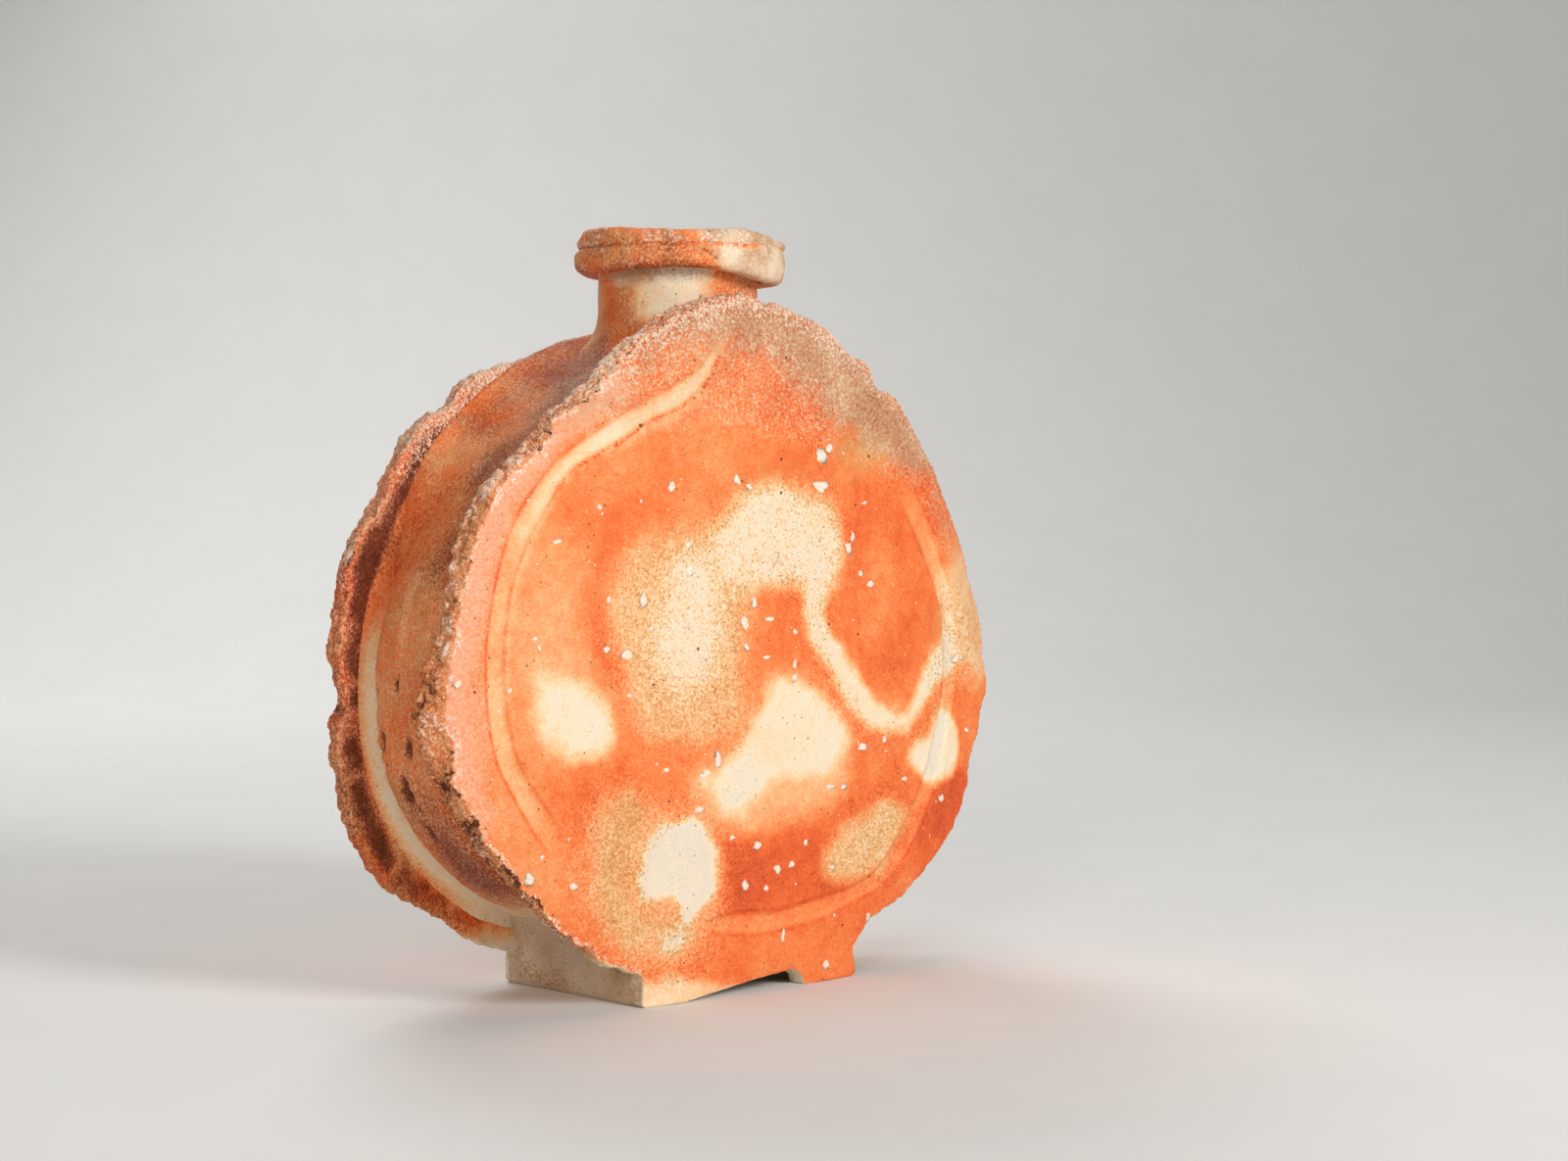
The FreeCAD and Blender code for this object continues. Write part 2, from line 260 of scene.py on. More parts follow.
def newPiece(name, points, faces, finish, paints=None):
    mesh = bpy.data.meshes.new(name)
    mesh.from_pydata((np.asarray(points) * mm).tolist(), [], faces)
    if paints:
        # a closed piece, its faces turned outward
        shell = bmesh.new()
        shell.from_mesh(mesh)
        bmesh.ops.recalc_face_normals(shell, faces=shell.faces)
        if shell.calc_volume(signed=True) < 0:
            bmesh.ops.reverse_faces(shell, faces=shell.faces)
        shell.to_mesh(mesh)
        shell.free()
    mesh.polygons.foreach_set("use_smooth", [True] * len(mesh.polygons))
    for label, values in (paints or {}).items():
        layer = mesh.attributes.new(label, "FLOAT", "POINT")
        layer.data.foreach_set("value", np.clip(values, -1, 2).astype(np.float32))
    mesh.materials.append(finish)
    mesh.update()
    piece = bpy.data.objects.new(name, mesh)
    bpy.context.scene.collection.objects.link(piece)
    return piece


def seat(piece, slot, *nodes):
    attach(piece, "root")
    if nodes:
        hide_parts(*nodes)
    print("made", piece.name, len(piece.data.polygons), "faces")


# Colours as they look, 0 to 255

def shade(red, green, blue):
    return tuple(((v / 255 + 0.055) / 1.055) ** 2.4 if v > 10 else v / 3294.6
                 for v in (red, green, blue)) + (1.0,)


clay = {
    # how strongly the flame coloured the clay, from full flash to bare
    "flash": [
        (0.00, (184, 68, 30)),
        (0.10, (216, 86, 38)),
        (0.21, (238, 103, 46)),
        (0.35, (245, 134, 70)),
        (0.48, (246, 160, 102)),
        (0.62, (247, 190, 133)),
        (0.76, (246, 210, 163)),
        (0.90, (244, 228, 199)),
        (1.00, (232, 218, 197)),
    ],
    "gold": [(0.0, (196, 128, 62)), (0.5, (222, 164, 98)), (1.0, (243, 211, 162))],
    "ash": [(0.0, (152, 98, 64)), (0.35, (190, 136, 96)), (0.65, (212, 168, 130)), (1.0, (238, 213, 182))],
    "pink": [(0.0, (243, 160, 121)), (0.5, (247, 174, 138)), (1.0, (250, 192, 160))],
    # burnt clay, also used as painted shade
    "burnt": [(0.0, (66, 27, 13)), (0.5, (118, 54, 28)), (1.0, (170, 94, 56))],
    "torn": [(0.0, (160, 80, 40)), (0.3, (208, 120, 68)), (0.6, (233, 160, 106)), (1.0, (250, 214, 176))],
    "dry": [(0.0, (226, 170, 136)), (0.5, (242, 204, 174)), (1.0, (251, 234, 214))],
    "iron": (66, 40, 28),
    "chalk": (250, 240, 224),
}
paintMarks = ("flash", "haze", "gold", "ash", "pink", "burnt", "torn", "dry")


class NodeBench:
    # short ways of adding nodes to a tree
    def __init__(self, tree):
        self.tree = tree

    def add(self, kind, inputs=None, **settings):
        node = self.tree.nodes.new(kind)
        for label, value in settings.items():
            setattr(node, label, value)
        for socket, source in (inputs or {}).items():
            self.join(source, node.inputs[socket])
        return node

    def join(self, source, target):
        if isinstance(source, bpy.types.NodeSocket):
            self.tree.links.new(source, target)
        else:
            target.default_value = source

    def calc(self, operation, a, b, hold=False):
        return self.add("ShaderNodeMath", {0: a, 1: b}, operation=operation, use_clamp=hold).outputs[0]

    def blend(self, *pairs, plus=0.0):
        # adds up values, each times its amount
        total = plus
        for value, amount in pairs:
            total = self.add("ShaderNodeMath", {0: value, 1: amount, 2: total}, operation="MULTIPLY_ADD").outputs[0]
        return total

    def mark(self, label):
        return self.add("ShaderNodeAttribute", attribute_name=label).outputs["Fac"]

    def speckle(self, place, size, detail):
        # noise whose lumps are about size mm across
        values = {"Vector": place, "Scale": 1000 / size, "Detail": detail, "Roughness": 0.55}
        return self.add("ShaderNodeTexNoise", values).outputs["Fac"]

    def grain(self, place, size, detail):
        # the same, spread out to run from -0.5 to 0.5
        values = {"Value": self.speckle(place, size, detail), "From Min": 0.32, "From Max": 0.68,
                  "To Min": -0.5, "To Max": 0.5}
        return self.add("ShaderNodeMapRange", values).outputs["Result"]

    def cells(self, place, size):
        return self.add("ShaderNodeTexVoronoi", {"Vector": place, "Scale": 1000 / size}, feature="F1").outputs

    def ramp(self, value, stops):
        node = self.add("ShaderNodeValToRGB", {"Fac": value})
        band = node.color_ramp
        while len(band.elements) < len(stops):
            band.elements.new(1.0)
        for stop, (at, colour) in zip(band.elements, stops):
            stop.position = at
            stop.color = shade(*colour)
        return node.outputs["Color"]

    def window(self, value, low, high):
        # 0 below low, 1 above high
        values = {"Value": value, "From Min": low, "From Max": high}
        return self.add("ShaderNodeMapRange", values, interpolation_type="SMOOTHSTEP").outputs["Result"]

    def over(self, share, under, top):
        return self.add("ShaderNodeMix", {0: share, 6: under, 7: top}, data_type="RGBA").outputs[2]

    def bump(self, height, deep, strength):
        values = {"Height": height, "Distance": deep, "Strength": strength}
        return self.add("ShaderNodeBump", values).outputs["Normal"]

    def stored(self, label, kind):
        return self.add("GeometryNodeInputNamedAttribute", {"Name": label}, data_type=kind).outputs["Attribute"]

    def chance(self, kind, values):
        node = self.add("FunctionNodeRandomValue", values, data_type=kind)
        return node.outputs[0 if kind == "FLOAT_VECTOR" else 1]


def newFinish(name):
    # an empty finish, with a bench for its nodes, its shader's sockets and the place on the piece
    finish = bpy.data.materials.new(name)
    finish.use_nodes = True
    bench = NodeBench(finish.node_tree)
    shader = finish.node_tree.nodes["Principled BSDF"].inputs
    return finish, bench, shader, bench.add("ShaderNodeTexCoord").outputs["Object"]


firedLook = {
    "sand": (0.45, 2.0),     # lumps of colour in the clay: size in mm and detail
    "grog": (1.15, 2.0),
    "blotch": (4.5, 3.0),
    "cloud": (18.0, 4.0),
    "iron": (3.4, 0.14, 0.61),       # cell in mm with one dot at most, the dot's size, how rare it is
    "bigIron": (13.0, 0.062, 0.38),
    "fineIron": (1.5, 0.2, 0.55),
    "paleGrain": (2.7, 0.15, 0.6),
    "pitCell": 2.6,
    "reliefDeep": 0.0005,
    # the washes in their order: how far each sits on the pale grains, or below 0 on the dark ones
    "washEdge": {"pink": 0.2, "gold": -0.62, "ash": 0.62, "torn": 0.6, "burnt": -0.22, "dry": 0.8},
}


def firedClay(name, grit):
    # stoneware whose colour follows the marks painted on a piece
    finish, bench, shader, place = newFinish(name)
    calc, blend, window = bench.calc, bench.blend, bench.window
    sand, grog, blotch, cloud = [bench.grain(place, *firedLook[label]) for label in ("sand", "grog", "blotch", "cloud")]
    mark = {label: bench.mark(label) for label in paintMarks}
    flash, haze = mark["flash"], mark["haze"]

    # flame colour, grainy where the haze is
    hazeSand, hazeGrog = blend((haze, 0.2), plus=0.19), blend((haze, 0.2), plus=0.1)
    level = blend((flash, 1.0), (cloud, 0.11), (blotch, 0.06), (sand, hazeSand), (grog, hazeGrog))
    colour = bench.ramp(level, clay["flash"])

    # washes that sit on it in grains
    tone = blend((sand, 0.5), (grog, 0.5), (cloud, 0.35), plus=0.5)
    for label, edge in firedLook["washEdge"].items():
        grainy = calc("MULTIPLY", blend((sand, edge), (grog, edge)), window(mark[label], 0.0, 0.25))
        share = window(calc("ADD", mark[label], grainy), 0.2, 0.8)
        colour = bench.over(share, colour, bench.ramp(tone, clay[label]))

    # iron specks and pale grains: a dot in some of the cells
    def dots(label):
        size, most, rare = firedLook[label]
        cell = bench.cells(place, size)
        spot = calc("LESS_THAN", cell["Distance"], calc("MULTIPLY", cell["Color"], most))
        return calc("MULTIPLY", spot, window(cell["Color"], rare, rare + 0.03))

    iron = calc("MAXIMUM", calc("MULTIPLY", dots("iron"), 0.8), dots("bigIron"))
    fine = calc("MULTIPLY", dots("fineIron"), window(flash, 0.7, 0.9))
    pale = calc("MULTIPLY", dots("paleGrain"), window(grog, -0.3, 0.2))
    for share, most, top in ((pale, 0.42, "chalk"), (fine, 0.4, "iron"), (iron, 0.85, "iron")):
        colour = bench.over(calc("MULTIPLY", share, most), colour, shade(*clay[top]))
    bench.join(colour, shader["Base Color"])

    # dry clay is rough, flashed clay a little less so
    rough = calc("ADD", blend((flash, 0.16), (grog, 0.1), (mark["ash"], 0.1)), 0.66, True)
    bench.join(rough, shader["Roughness"])
    shader["Specular IOR Level"].default_value = 0.3

    # sand, grog and pits
    pits = bench.cells(place, firedLook["pitCell"])["Distance"]
    height = blend((sand, 0.35), (grog, 0.5), (pits, -0.3), (iron, -0.6), (pale, 0.4))
    coarse = calc("ADD", calc("ADD", mark["ash"], mark["torn"]), calc("MULTIPLY", haze, 0.3), True)
    strength = blend((coarse, 0.4 * grit), plus=0.35 * grit)
    bench.join(bench.bump(height, firedLook["reliefDeep"], strength), shader["Normal"])
    return finish


def plainFinish(name, look):
    # one colour of clay all over, grained by one noise
    finish, bench, shader, place = newFinish(name)
    grain = bench.speckle(place, look["size"], look["detail"])
    tone = bench.blend((bench.mark(look["mark"]), 1.0), (grain, 0.6), plus=-0.3) if "mark" in look else grain
    bench.join(bench.ramp(tone, look["stops"]), shader["Base Color"])
    uneven = look.get("uneven")
    bench.join(bench.blend((grain, uneven), plus=look["rough"]) if uneven else look["rough"], shader["Roughness"])
    if "bump" in look:
        bench.join(bench.bump(grain, *look["bump"]), shader["Normal"])
    if "shine" in look:
        shader["Specular IOR Level"].default_value = look["shine"]
    return finish


def loosePaint(count):
    return {label: np.zeros(count) for label in paintMarks}


slabFinish = firedClay("flashedSlab", 1.0)
wallFinish = firedClay("flashedWall", 1.25)
neckFinish = firedClay("flashedNeck", 1.1)
bareFinish = firedClay("bareStoneware", 0.9)
print("finishes mixed")


# The two torn slabs. Each edge point is an angle round the body and a share of its half sizes.
frontSlab = {
    "edge": [
        (236, 0.926), (225, 0.923), (215, 0.933), (208, 0.946), (200, 0.966), (194, 0.962), (189, 0.956),
        (183, 0.930), (177, 0.903), (171, 0.895), (164, 0.888), (157, 0.876), (153, 0.872), (149.5, 0.848),
        (144, 0.833), (137, 0.838), (130, 0.819), (125, 0.820), (120, 0.838), (115, 0.843), (110, 0.860),
        (101, 0.878), (94, 0.888), (89, 0.882), (86.5, 0.858), (83.5, 0.870), (76, 0.867), (69, 0.856),
        (64, 0.839), (58.5, 0.846), (55, 0.818), (50, 0.848), (43, 0.845), (35, 0.850), (26, 0.864),
        (17, 0.886), (8, 0.918), (1, 0.960), (355, 0.984), (350, 1.012), (346.5, 0.998), (342, 1.003),
        (338.5, 0.981), (333, 1.000), (328, 1.006), (322, 0.982), (314, 0.952), (306, 0.918), (300, 0.894),
    ],
    # both edges of each finger stroke in the photo's pixels, each step as outer x, y and inner x, y
    "strokes": [
        [(731, 351, 737, 353), (712, 376, 723, 386), (684, 394, 700, 409), (650, 411, 662, 430), (620, 432, 634, 448),
         (590, 452, 604, 465), (564, 476, 580, 481), (544, 504, 564, 506), (526, 532, 546, 536), (514, 564, 533, 566),
         (506, 596, 523, 597), (500, 630, 517, 632), (496, 662, 514, 666), (496, 700, 514, 704), (499, 732, 518, 738),
         (508, 776, 528, 778), (524, 812, 544, 806), (540, 840, 562, 836), (554, 862, 574, 858),
         (572, 884, 582, 880)],
        [(714, 947, 716, 943), (738, 953, 736, 934), (766, 954, 762, 930), (790, 951, 790, 928), (816, 945, 812, 922),
         (842, 937, 838, 914), (868, 922, 862, 907), (894, 907, 884, 897), (912, 890, 900, 878), (928, 866, 914, 856),
         (942, 836, 926, 832), (952, 806, 938, 802), (962, 776, 947, 770), (969, 744, 954, 740), (975, 712, 960, 708),
         (977, 684, 962, 680), (976, 650, 961, 650), (974, 622, 959, 622), (968, 596, 953, 598), (960, 568, 944, 572),
         (950, 538, 932, 540), (934, 506, 918, 512), (916, 482, 906, 486)],
    ],
    "strokeDeep": 1.25,
    "strokeInk": [1.0, 0.35],     # how dark each stroke's edge lines are
    "strokeCrumbly": [0.36, -1.0],  # share of each stroke, from its start, with crumbs along its inner side
    "burr": 0.75,
    "rough": [(55, 0.25), (80, 0.65), (105, 0.9), (120, 1.0), (250, 1.0), (265, 0.3), (330, 0.3), (360, 0.25)],
    # how far the inner rim stands out past the edge's middle, mm
    "bevel": [(60, 0.2), (120, 0.5), (176, 0.8), (182, 2.1), (187, 3.0), (191, 4.1), (194, 4.2), (197, 2.3),
              (200, 1.2), (206, 0.8), (213, 0.0), (220, -0.8), (245, -0.8), (256, 0.0), (330, 0.3)],
    # dark holes in the broken edge, in the photo's pixels
    "holes": [(660, 342), (681, 327), (515, 476), (440, 655), (440, 706), (468, 560)],
    "bare": 1.0,         # how much of the edge is broken clay, not flashed
    "scorch": 0.0,
    "innerScorch": 0.3,
    "seed": 3,
}
backSlab = {
    "edge": [
        (235.5, 0.940), (228, 0.952), (222, 0.990), (217, 1.018), (210, 1.040), (204, 1.048), (200, 1.038),
        (196, 1.034), (191, 1.016), (188.5, 0.990), (186, 0.986), (182, 1.000), (175, 0.989), (167, 0.976),
        (160, 0.938), (153, 0.906), (144, 0.902), (139.5, 0.884), (136, 0.856), (130, 0.858), (122, 0.832),
        (113, 0.802), (102, 0.806), (90, 0.818), (78, 0.812), (67, 0.834), (58, 0.850), (53, 0.834),
        (47, 0.862), (37, 0.874), (27, 0.902), (18, 0.926), (12, 0.930), (4, 0.972), (356, 0.998),
        (349, 1.014), (345, 0.996), (340, 1.022), (333, 1.024), (325, 1.004), (317, 0.976), (312, 0.944),
        (306, 0.926), (300, 0.900),
    ],
    "rough": [(0, 0.5), (60, 0.4), (110, 0.6), (180, 0.9), (250, 0.8), (300, 0.6), (360, 0.5)],
    "bevel": [(0, 0.3), (150, 0.5), (200, 1.0), (250, 0.4), (360, 0.3)],
    "holes": [],
    "bare": 0.12,
    "scorch": 0.4,
    "innerScorch": 0.6,
    "seed": 8,
}
# the arch under the foot, as shares of the foot's half width and of the arch's height
soleArch = [(0.48, 0.0), (0.46, 0.5), (0.36, 1.0), (0.0, 0.74), (-0.38, 0.34), (-0.66, 0.0)]
slabMesh = {
    "edgeStep": 0.62,
    "faceStep": 1.2,
    "strokeStep": 0.62,
    "strokeReach": 7.5,
    "insideStep": 6.0,
    "lineStep": 1.6,
    "edgeRows": 14,
    "holeBehind": 4.0,   # how far the holes in the edge lie behind the face, and how wide and deep they are
    "holeWide": 1.6,
    "holeDeep": 1.5,
    "cornerOut": 0.4,    # the sole's rounded corners
    "cornerHigh": 1.2,
    "cornerIn": 1.0,
}


def slabLoop(slab):
    # the outline, clockwise seen from the front, and how freely each place is torn
    foot, end = body["footHalf"], body["footEnd"]
    torn = smoothRun([(-foot, end)] + [facePoint(*p) for p in slab["edge"]] + [(foot, end)], slabMesh["edgeStep"])
    out, high, back = slabMesh["cornerOut"], slabMesh["cornerHigh"], slabMesh["cornerIn"]
    sole = [(foot, end), (foot + out, high), (foot - back, 0.0)]
    sole += [(x * foot, z * body["archHigh"]) for x, z in soleArch]
    sole += [(back - foot, 0.0), (-foot - out, high), (-foot, end)]
    straight = evenSteps(np.array(sole), slabMesh["edgeStep"])[1:-1]
    loop = np.vstack([torn, straight])
    free = np.concatenate([np.ones(len(torn)), np.full(len(straight), 0.12)])
    return loop, np.minimum(free, eased(loop[:, 1], 4, 26) + 0.1)


def tornEdge(loop, slab, side):
    # rings from the outer face's rim to the inner face's rim, and how far each point stands out
    base, free = loop
    out = outwardOf(base, 6)
    seed = slab["seed"]
    angle = np.degrees(np.arctan2(base[:, 1] - body["centreHigh"], base[:, 0])) % 360
    rough = np.interp(angle, *zip(*slab["rough"]))
    bevel = np.interp(angle, *zip(*slab["bevel"])) * free
    flat = np.stack([base[:, 0], np.full(len(base), side * 30.0), base[:, 1]], 1)
    tear = 0.7 * roughLumps(flat, 14, seed) + 0.35 * roughLumps(flat, 5, seed + 1, 2)
    tear -= 6.0 * np.clip(0.28 - grains(flat, 10.5, seed + 2), 0, 1)
    scallop = 1.5 * np.square(1 - np.abs(lumps(flat, 13, seed + 3))) - 0.9
    base = base + out * ((rough * tear + (1 - rough) * scallop) * free)[:, None]
    x, z = base[:, 0], base[:, 1]
    rings, heights = [], []
    for row in range(slabMesh["edgeRows"] + 1):
        t = row / slabMesh["edgeRows"]
        swell = math.sin(math.pi * t)
        depth = outerDepth(x, z) * (1 - t) + innerDepth(x, z) * t
        here = np.stack([x, side * depth, z], 1)
        gap, chip = nearestGrain(here + 0.6 * lumps(here, 2.5, seed + 8)[:, None], 3.7, seed + 6)
        broken = 0.8 * roughLumps(here, 7.0, seed + 5) + 1.0 * (0.5 - gap) + 0.65 * chip
        gap, chip = nearestGrain(here, 1.8, seed + 7)
        broken += 0.7 * (0.5 - gap) + 0.28 * chip - 1.3 * abs(2 * t - 1) ** 5
        broken += 1.2 * eased(lumps(here, 9.0, seed + 9), 0.1, 0.6) * swell
        crevice = ridge(lumps(here, 7.0, seed + 10), 0.09) * eased(lumps(here, 16.0, seed + 11), -0.1, 0.3)
        broken -= 1.5 * crevice * max(swell, 0) ** 0.5
        pressed = 0.45 * roughLumps(here, 7.0, seed + 5) + 0.25 * (0.5 - grains(here, 2.4, seed + 6))
        pressed -= 0.9 * abs(2 * t - 1) ** 4
        push = (rough * broken + (1 - rough) * pressed) * free - slabMesh["holeDeep"] * edgeHoles(here, slab)
        heights.append(push)
        moved = base + out * (push + bevel * (2 * t - 1))[:, None]
        sway = 0.6 * roughLumps(here, 5.0, seed + 12, 2) * free * rough * swell
        rings.append(np.stack([moved[:, 0], side * depth + sway, np.maximum(moved[:, 1], 0)], 1))
    return rings, heights


def edgeHoles(points, slab):
    # 1 in the middle of each hole in the broken edge, 0 away from them
    deep = np.zeros(len(points))
    behind = slabMesh["holeBehind"]
    for px, py in slab["holes"]:
        x, z = photoToFace(px, py, behind)
        middle = np.array([x, behind - float(outerDepth(x, z)), z])
        deep = np.maximum(deep, np.exp(-np.square(points - middle).sum(1) / slabMesh["holeWide"]))
    return deep


def rowsOfSpots(low, high, step):
    # spots in staggered rows over a box
    rowStep = step * math.sqrt(3) / 2
    rows = []
    for row in range(int((high[1] - low[1]) / rowStep) + 1):
        across = np.arange(low[0] + (step / 2 if row % 2 else 0), high[0], step)
        rows.append(np.stack([across, np.full(len(across), low[1] + row * rowStep)], 1))
    return np.vstack(rows)


def lookup(spots):
    # a function that gives the distance from each place to the nearest spot
    tree = kdtree.KDTree(len(spots))
    for i, (x, z) in enumerate(spots):
        tree.insert((x, z, 0), i)
    tree.balance()
    return lambda places: np.array([tree.find((x, z, 0))[2] for x, z in places])


def fillRing(ring, step, fineLines=()):
    # triangles inside a ring, with even points between, finer along some lines: points, corner numbers, rim distance
    spots = ring[:, [0, 2]]
    rimGap = lookup(spots)
    low, high = spots.min(0), spots.max(0)
    inner = rowsOfSpots(low, high, step)
    inner = inner[rimGap(inner) > 0.6 * step]
    if fineLines:
        lineGap = lookup(np.vstack([line[:, :2] for line in fineLines]))
        inner = inner[lineGap(inner) > slabMesh["strokeReach"]]
        close = rowsOfSpots(low, high, slabMesh["strokeStep"])
        close = close[lineGap(close) <= slabMesh["strokeReach"]]
        inner = np.vstack([inner, close[rimGap(close) > 0.6 * slabMesh["strokeStep"]]])
    every = np.vstack([spots, inner])
    count = len(spots)
    rim = [(i, (i + 1) % count) for i in range(count)]
    made = delaunay_2d_cdt([Vector(p) for p in every], rim, [], 1, 1e-6)
    if len(made[0]) > len(every) or any(not kin for kin in made[3]):
        raise RuntimeError("a torn edge crosses itself")
    number = [kin[0] for kin in made[3]]
    corners = [[number[i] for i in face] for face in made[2]]
    used = sorted({i for face in corners for i in face} | set(range(count)))
    renumber = {old: new for new, old in enumerate(used)}
    return every[used], [[renumber[i] for i in face] for face in corners], rimGap


def makeSlab(name, slab, side, relief, paintFace):
    rings, heights = tornEdge(slabLoop(slab), slab, side)
    face, faceCorners, gapTo = fillRing(rings[0], slabMesh["faceStep"], strokeLines(slab))
    inside, insideCorners, insideGapTo = fillRing(rings[-1], slabMesh["insideStep"])
    rimGap = gapTo(face)
    points = np.stack([face[:, 0], side * outerDepth(face[:, 0], face[:, 1]), face[:, 1]], 1)
    points[:, 1] += side * relief(points, rimGap)
    back = np.stack([inside[:, 0], side * innerDepth(inside[:, 0], inside[:, 1]), inside[:, 1]], 1)
    parts = [points] + rings[1:-1] + [back]
    starts = [int(start) for start in np.cumsum([0] + [len(part) for part in parts[:-1]])]
    faces = [tuple(corners) for corners in faceCorners]
    faces += [(starts[-1] + a, starts[-1] + c, starts[-1] + b) for a, b, c in insideCorners]
    count = len(rings[0])
    for upper, lower in zip(starts[:-1], starts[1:]):
        for i in range(count):
            j = (i + 1) % count
            faces.append((upper + i, upper + j, lower + j, lower + i))
    everyPoint = np.vstack(parts)
    marks = loosePaint(len(everyPoint))
    proud = np.concatenate(heights[1:-1] + [np.zeros(len(back))])
    inward = np.concatenate([np.zeros(len(proud) - len(back)), insideGapTo(inside)])
    edgePaint(marks, everyPoint, len(points), proud, inward, slab)
    paintFace(marks, everyPoint, len(points), rimGap)
    return newPiece(name, everyPoint, faces, slabFinish, marks)


def strokeLines(slab):
    # middle lines of the finger strokes on the face, each step with its half width
    lines = []
    for pairs in slab.get("strokes", []):
        outer = np.array([photoToFace(*pair[:2]) for pair in pairs])
        inner = np.array([photoToFace(*pair[2:]) for pair in pairs])
        half = np.linalg.norm(outer - inner, axis=1) / 2
        lines.append(smoothRun(np.column_stack([(outer + inner) / 2, half]), slabMesh["lineStep"]))
    return lines


def acrossStrokes(spots, slab):
    # for each stroke: how dark its lines are, how far each spot is inward of its middle line, its half width there,
    # 1 along it and 0 past its ends, and how crumbly its inner side is
    middle = np.array([0, body["centreHigh"]])
    for line, ink, crumbly in zip(strokeLines(slab), slab["strokeInk"], slab["strokeCrumbly"]):
        gap, along = gapToLine(spots, line[:, :2])
        nearest = line[(along * (len(line) - 1)).round().astype(int)]
        inward = np.linalg.norm(spots - middle, axis=1) < np.linalg.norm(nearest[:, :2] - middle, axis=1)
        ends = eased(along, 0.0, 0.03) * eased(1 - along, 0.0, 0.12)
        upper = 1 - eased(along, crumbly - 0.1, crumbly + 0.1)
        yield ink, np.where(inward, gap, -gap), nearest[:, 2], ends, upper


def strokeRelief(spots, slab):
    # shallow channels, each with a crease on its outer side and crumbs pushed up on its inner side
    drop = np.zeros(len(spots))
    flat = np.stack([spots[:, 0], np.full(len(spots), 50.0), spots[:, 1]], 1)
    crumbs = 0.35 + 1.1 * np.clip(0.62 - grains(flat, 2.2, 1), 0, 1) + 0.35 * roughLumps(flat, 7, 2, 2)
    for ink, inward, half, ends, upper in acrossStrokes(spots, slab):
        drop -= slab["strokeDeep"] * ends * (1 - eased(np.abs(inward) / half, 0.45, 1.05))
        drop -= 0.5 * ink * ends * (1 - upper) * ridge(inward + half, 0.65)
        drop -= 0.3 * ink * ends * ridge(inward - half, 0.5)
        drop += slab["burr"] * ends * crumbs * (1 + 0.7 * upper) * ridge(inward - half - 1.0, 0.9)
        drop += 0.3 * ends * (1 - upper) * ridge(inward + half + 1.4, 1.1)
    return drop


def frontRelief(points, rimGap):
    height = 0.55 * lumps(points, 48, 21) + 0.25 * roughLumps(points, 15, 22) + 0.07 * roughLumps(points, 4, 23, 2)
    height += strokeRelief(points[:, [0, 2]], frontSlab)
    rough = eased(points[:, 2], 190, 240)
    height += rough * (0.22 * roughLumps(points, 3.0, 24, 2) + 0.55 * (0.5 - grains(points, 2.3, 28)))
    height -= np.exp(-rimGap / 2.2) * (0.6 + 0.7 * roughLumps(points, 4.0, 25, 2))
    crumbly = 0.9 * (0.5 - grains(points, 2.6, 26)) + 0.35 * roughLumps(points, 9, 27)
    return height + eased(-points[:, 0], -30, 40) * np.exp(-rimGap / 3.5) * crumbly


def backRelief(points, rimGap):
    height = 0.7 * lumps(points, 52, 41) + 0.3 * roughLumps(points, 16, 42) + 0.08 * roughLumps(points, 4, 43, 2)
    return height - np.exp(-rimGap / 2.2) * (0.7 + 0.8 * roughLumps(points, 4.0, 45, 2))


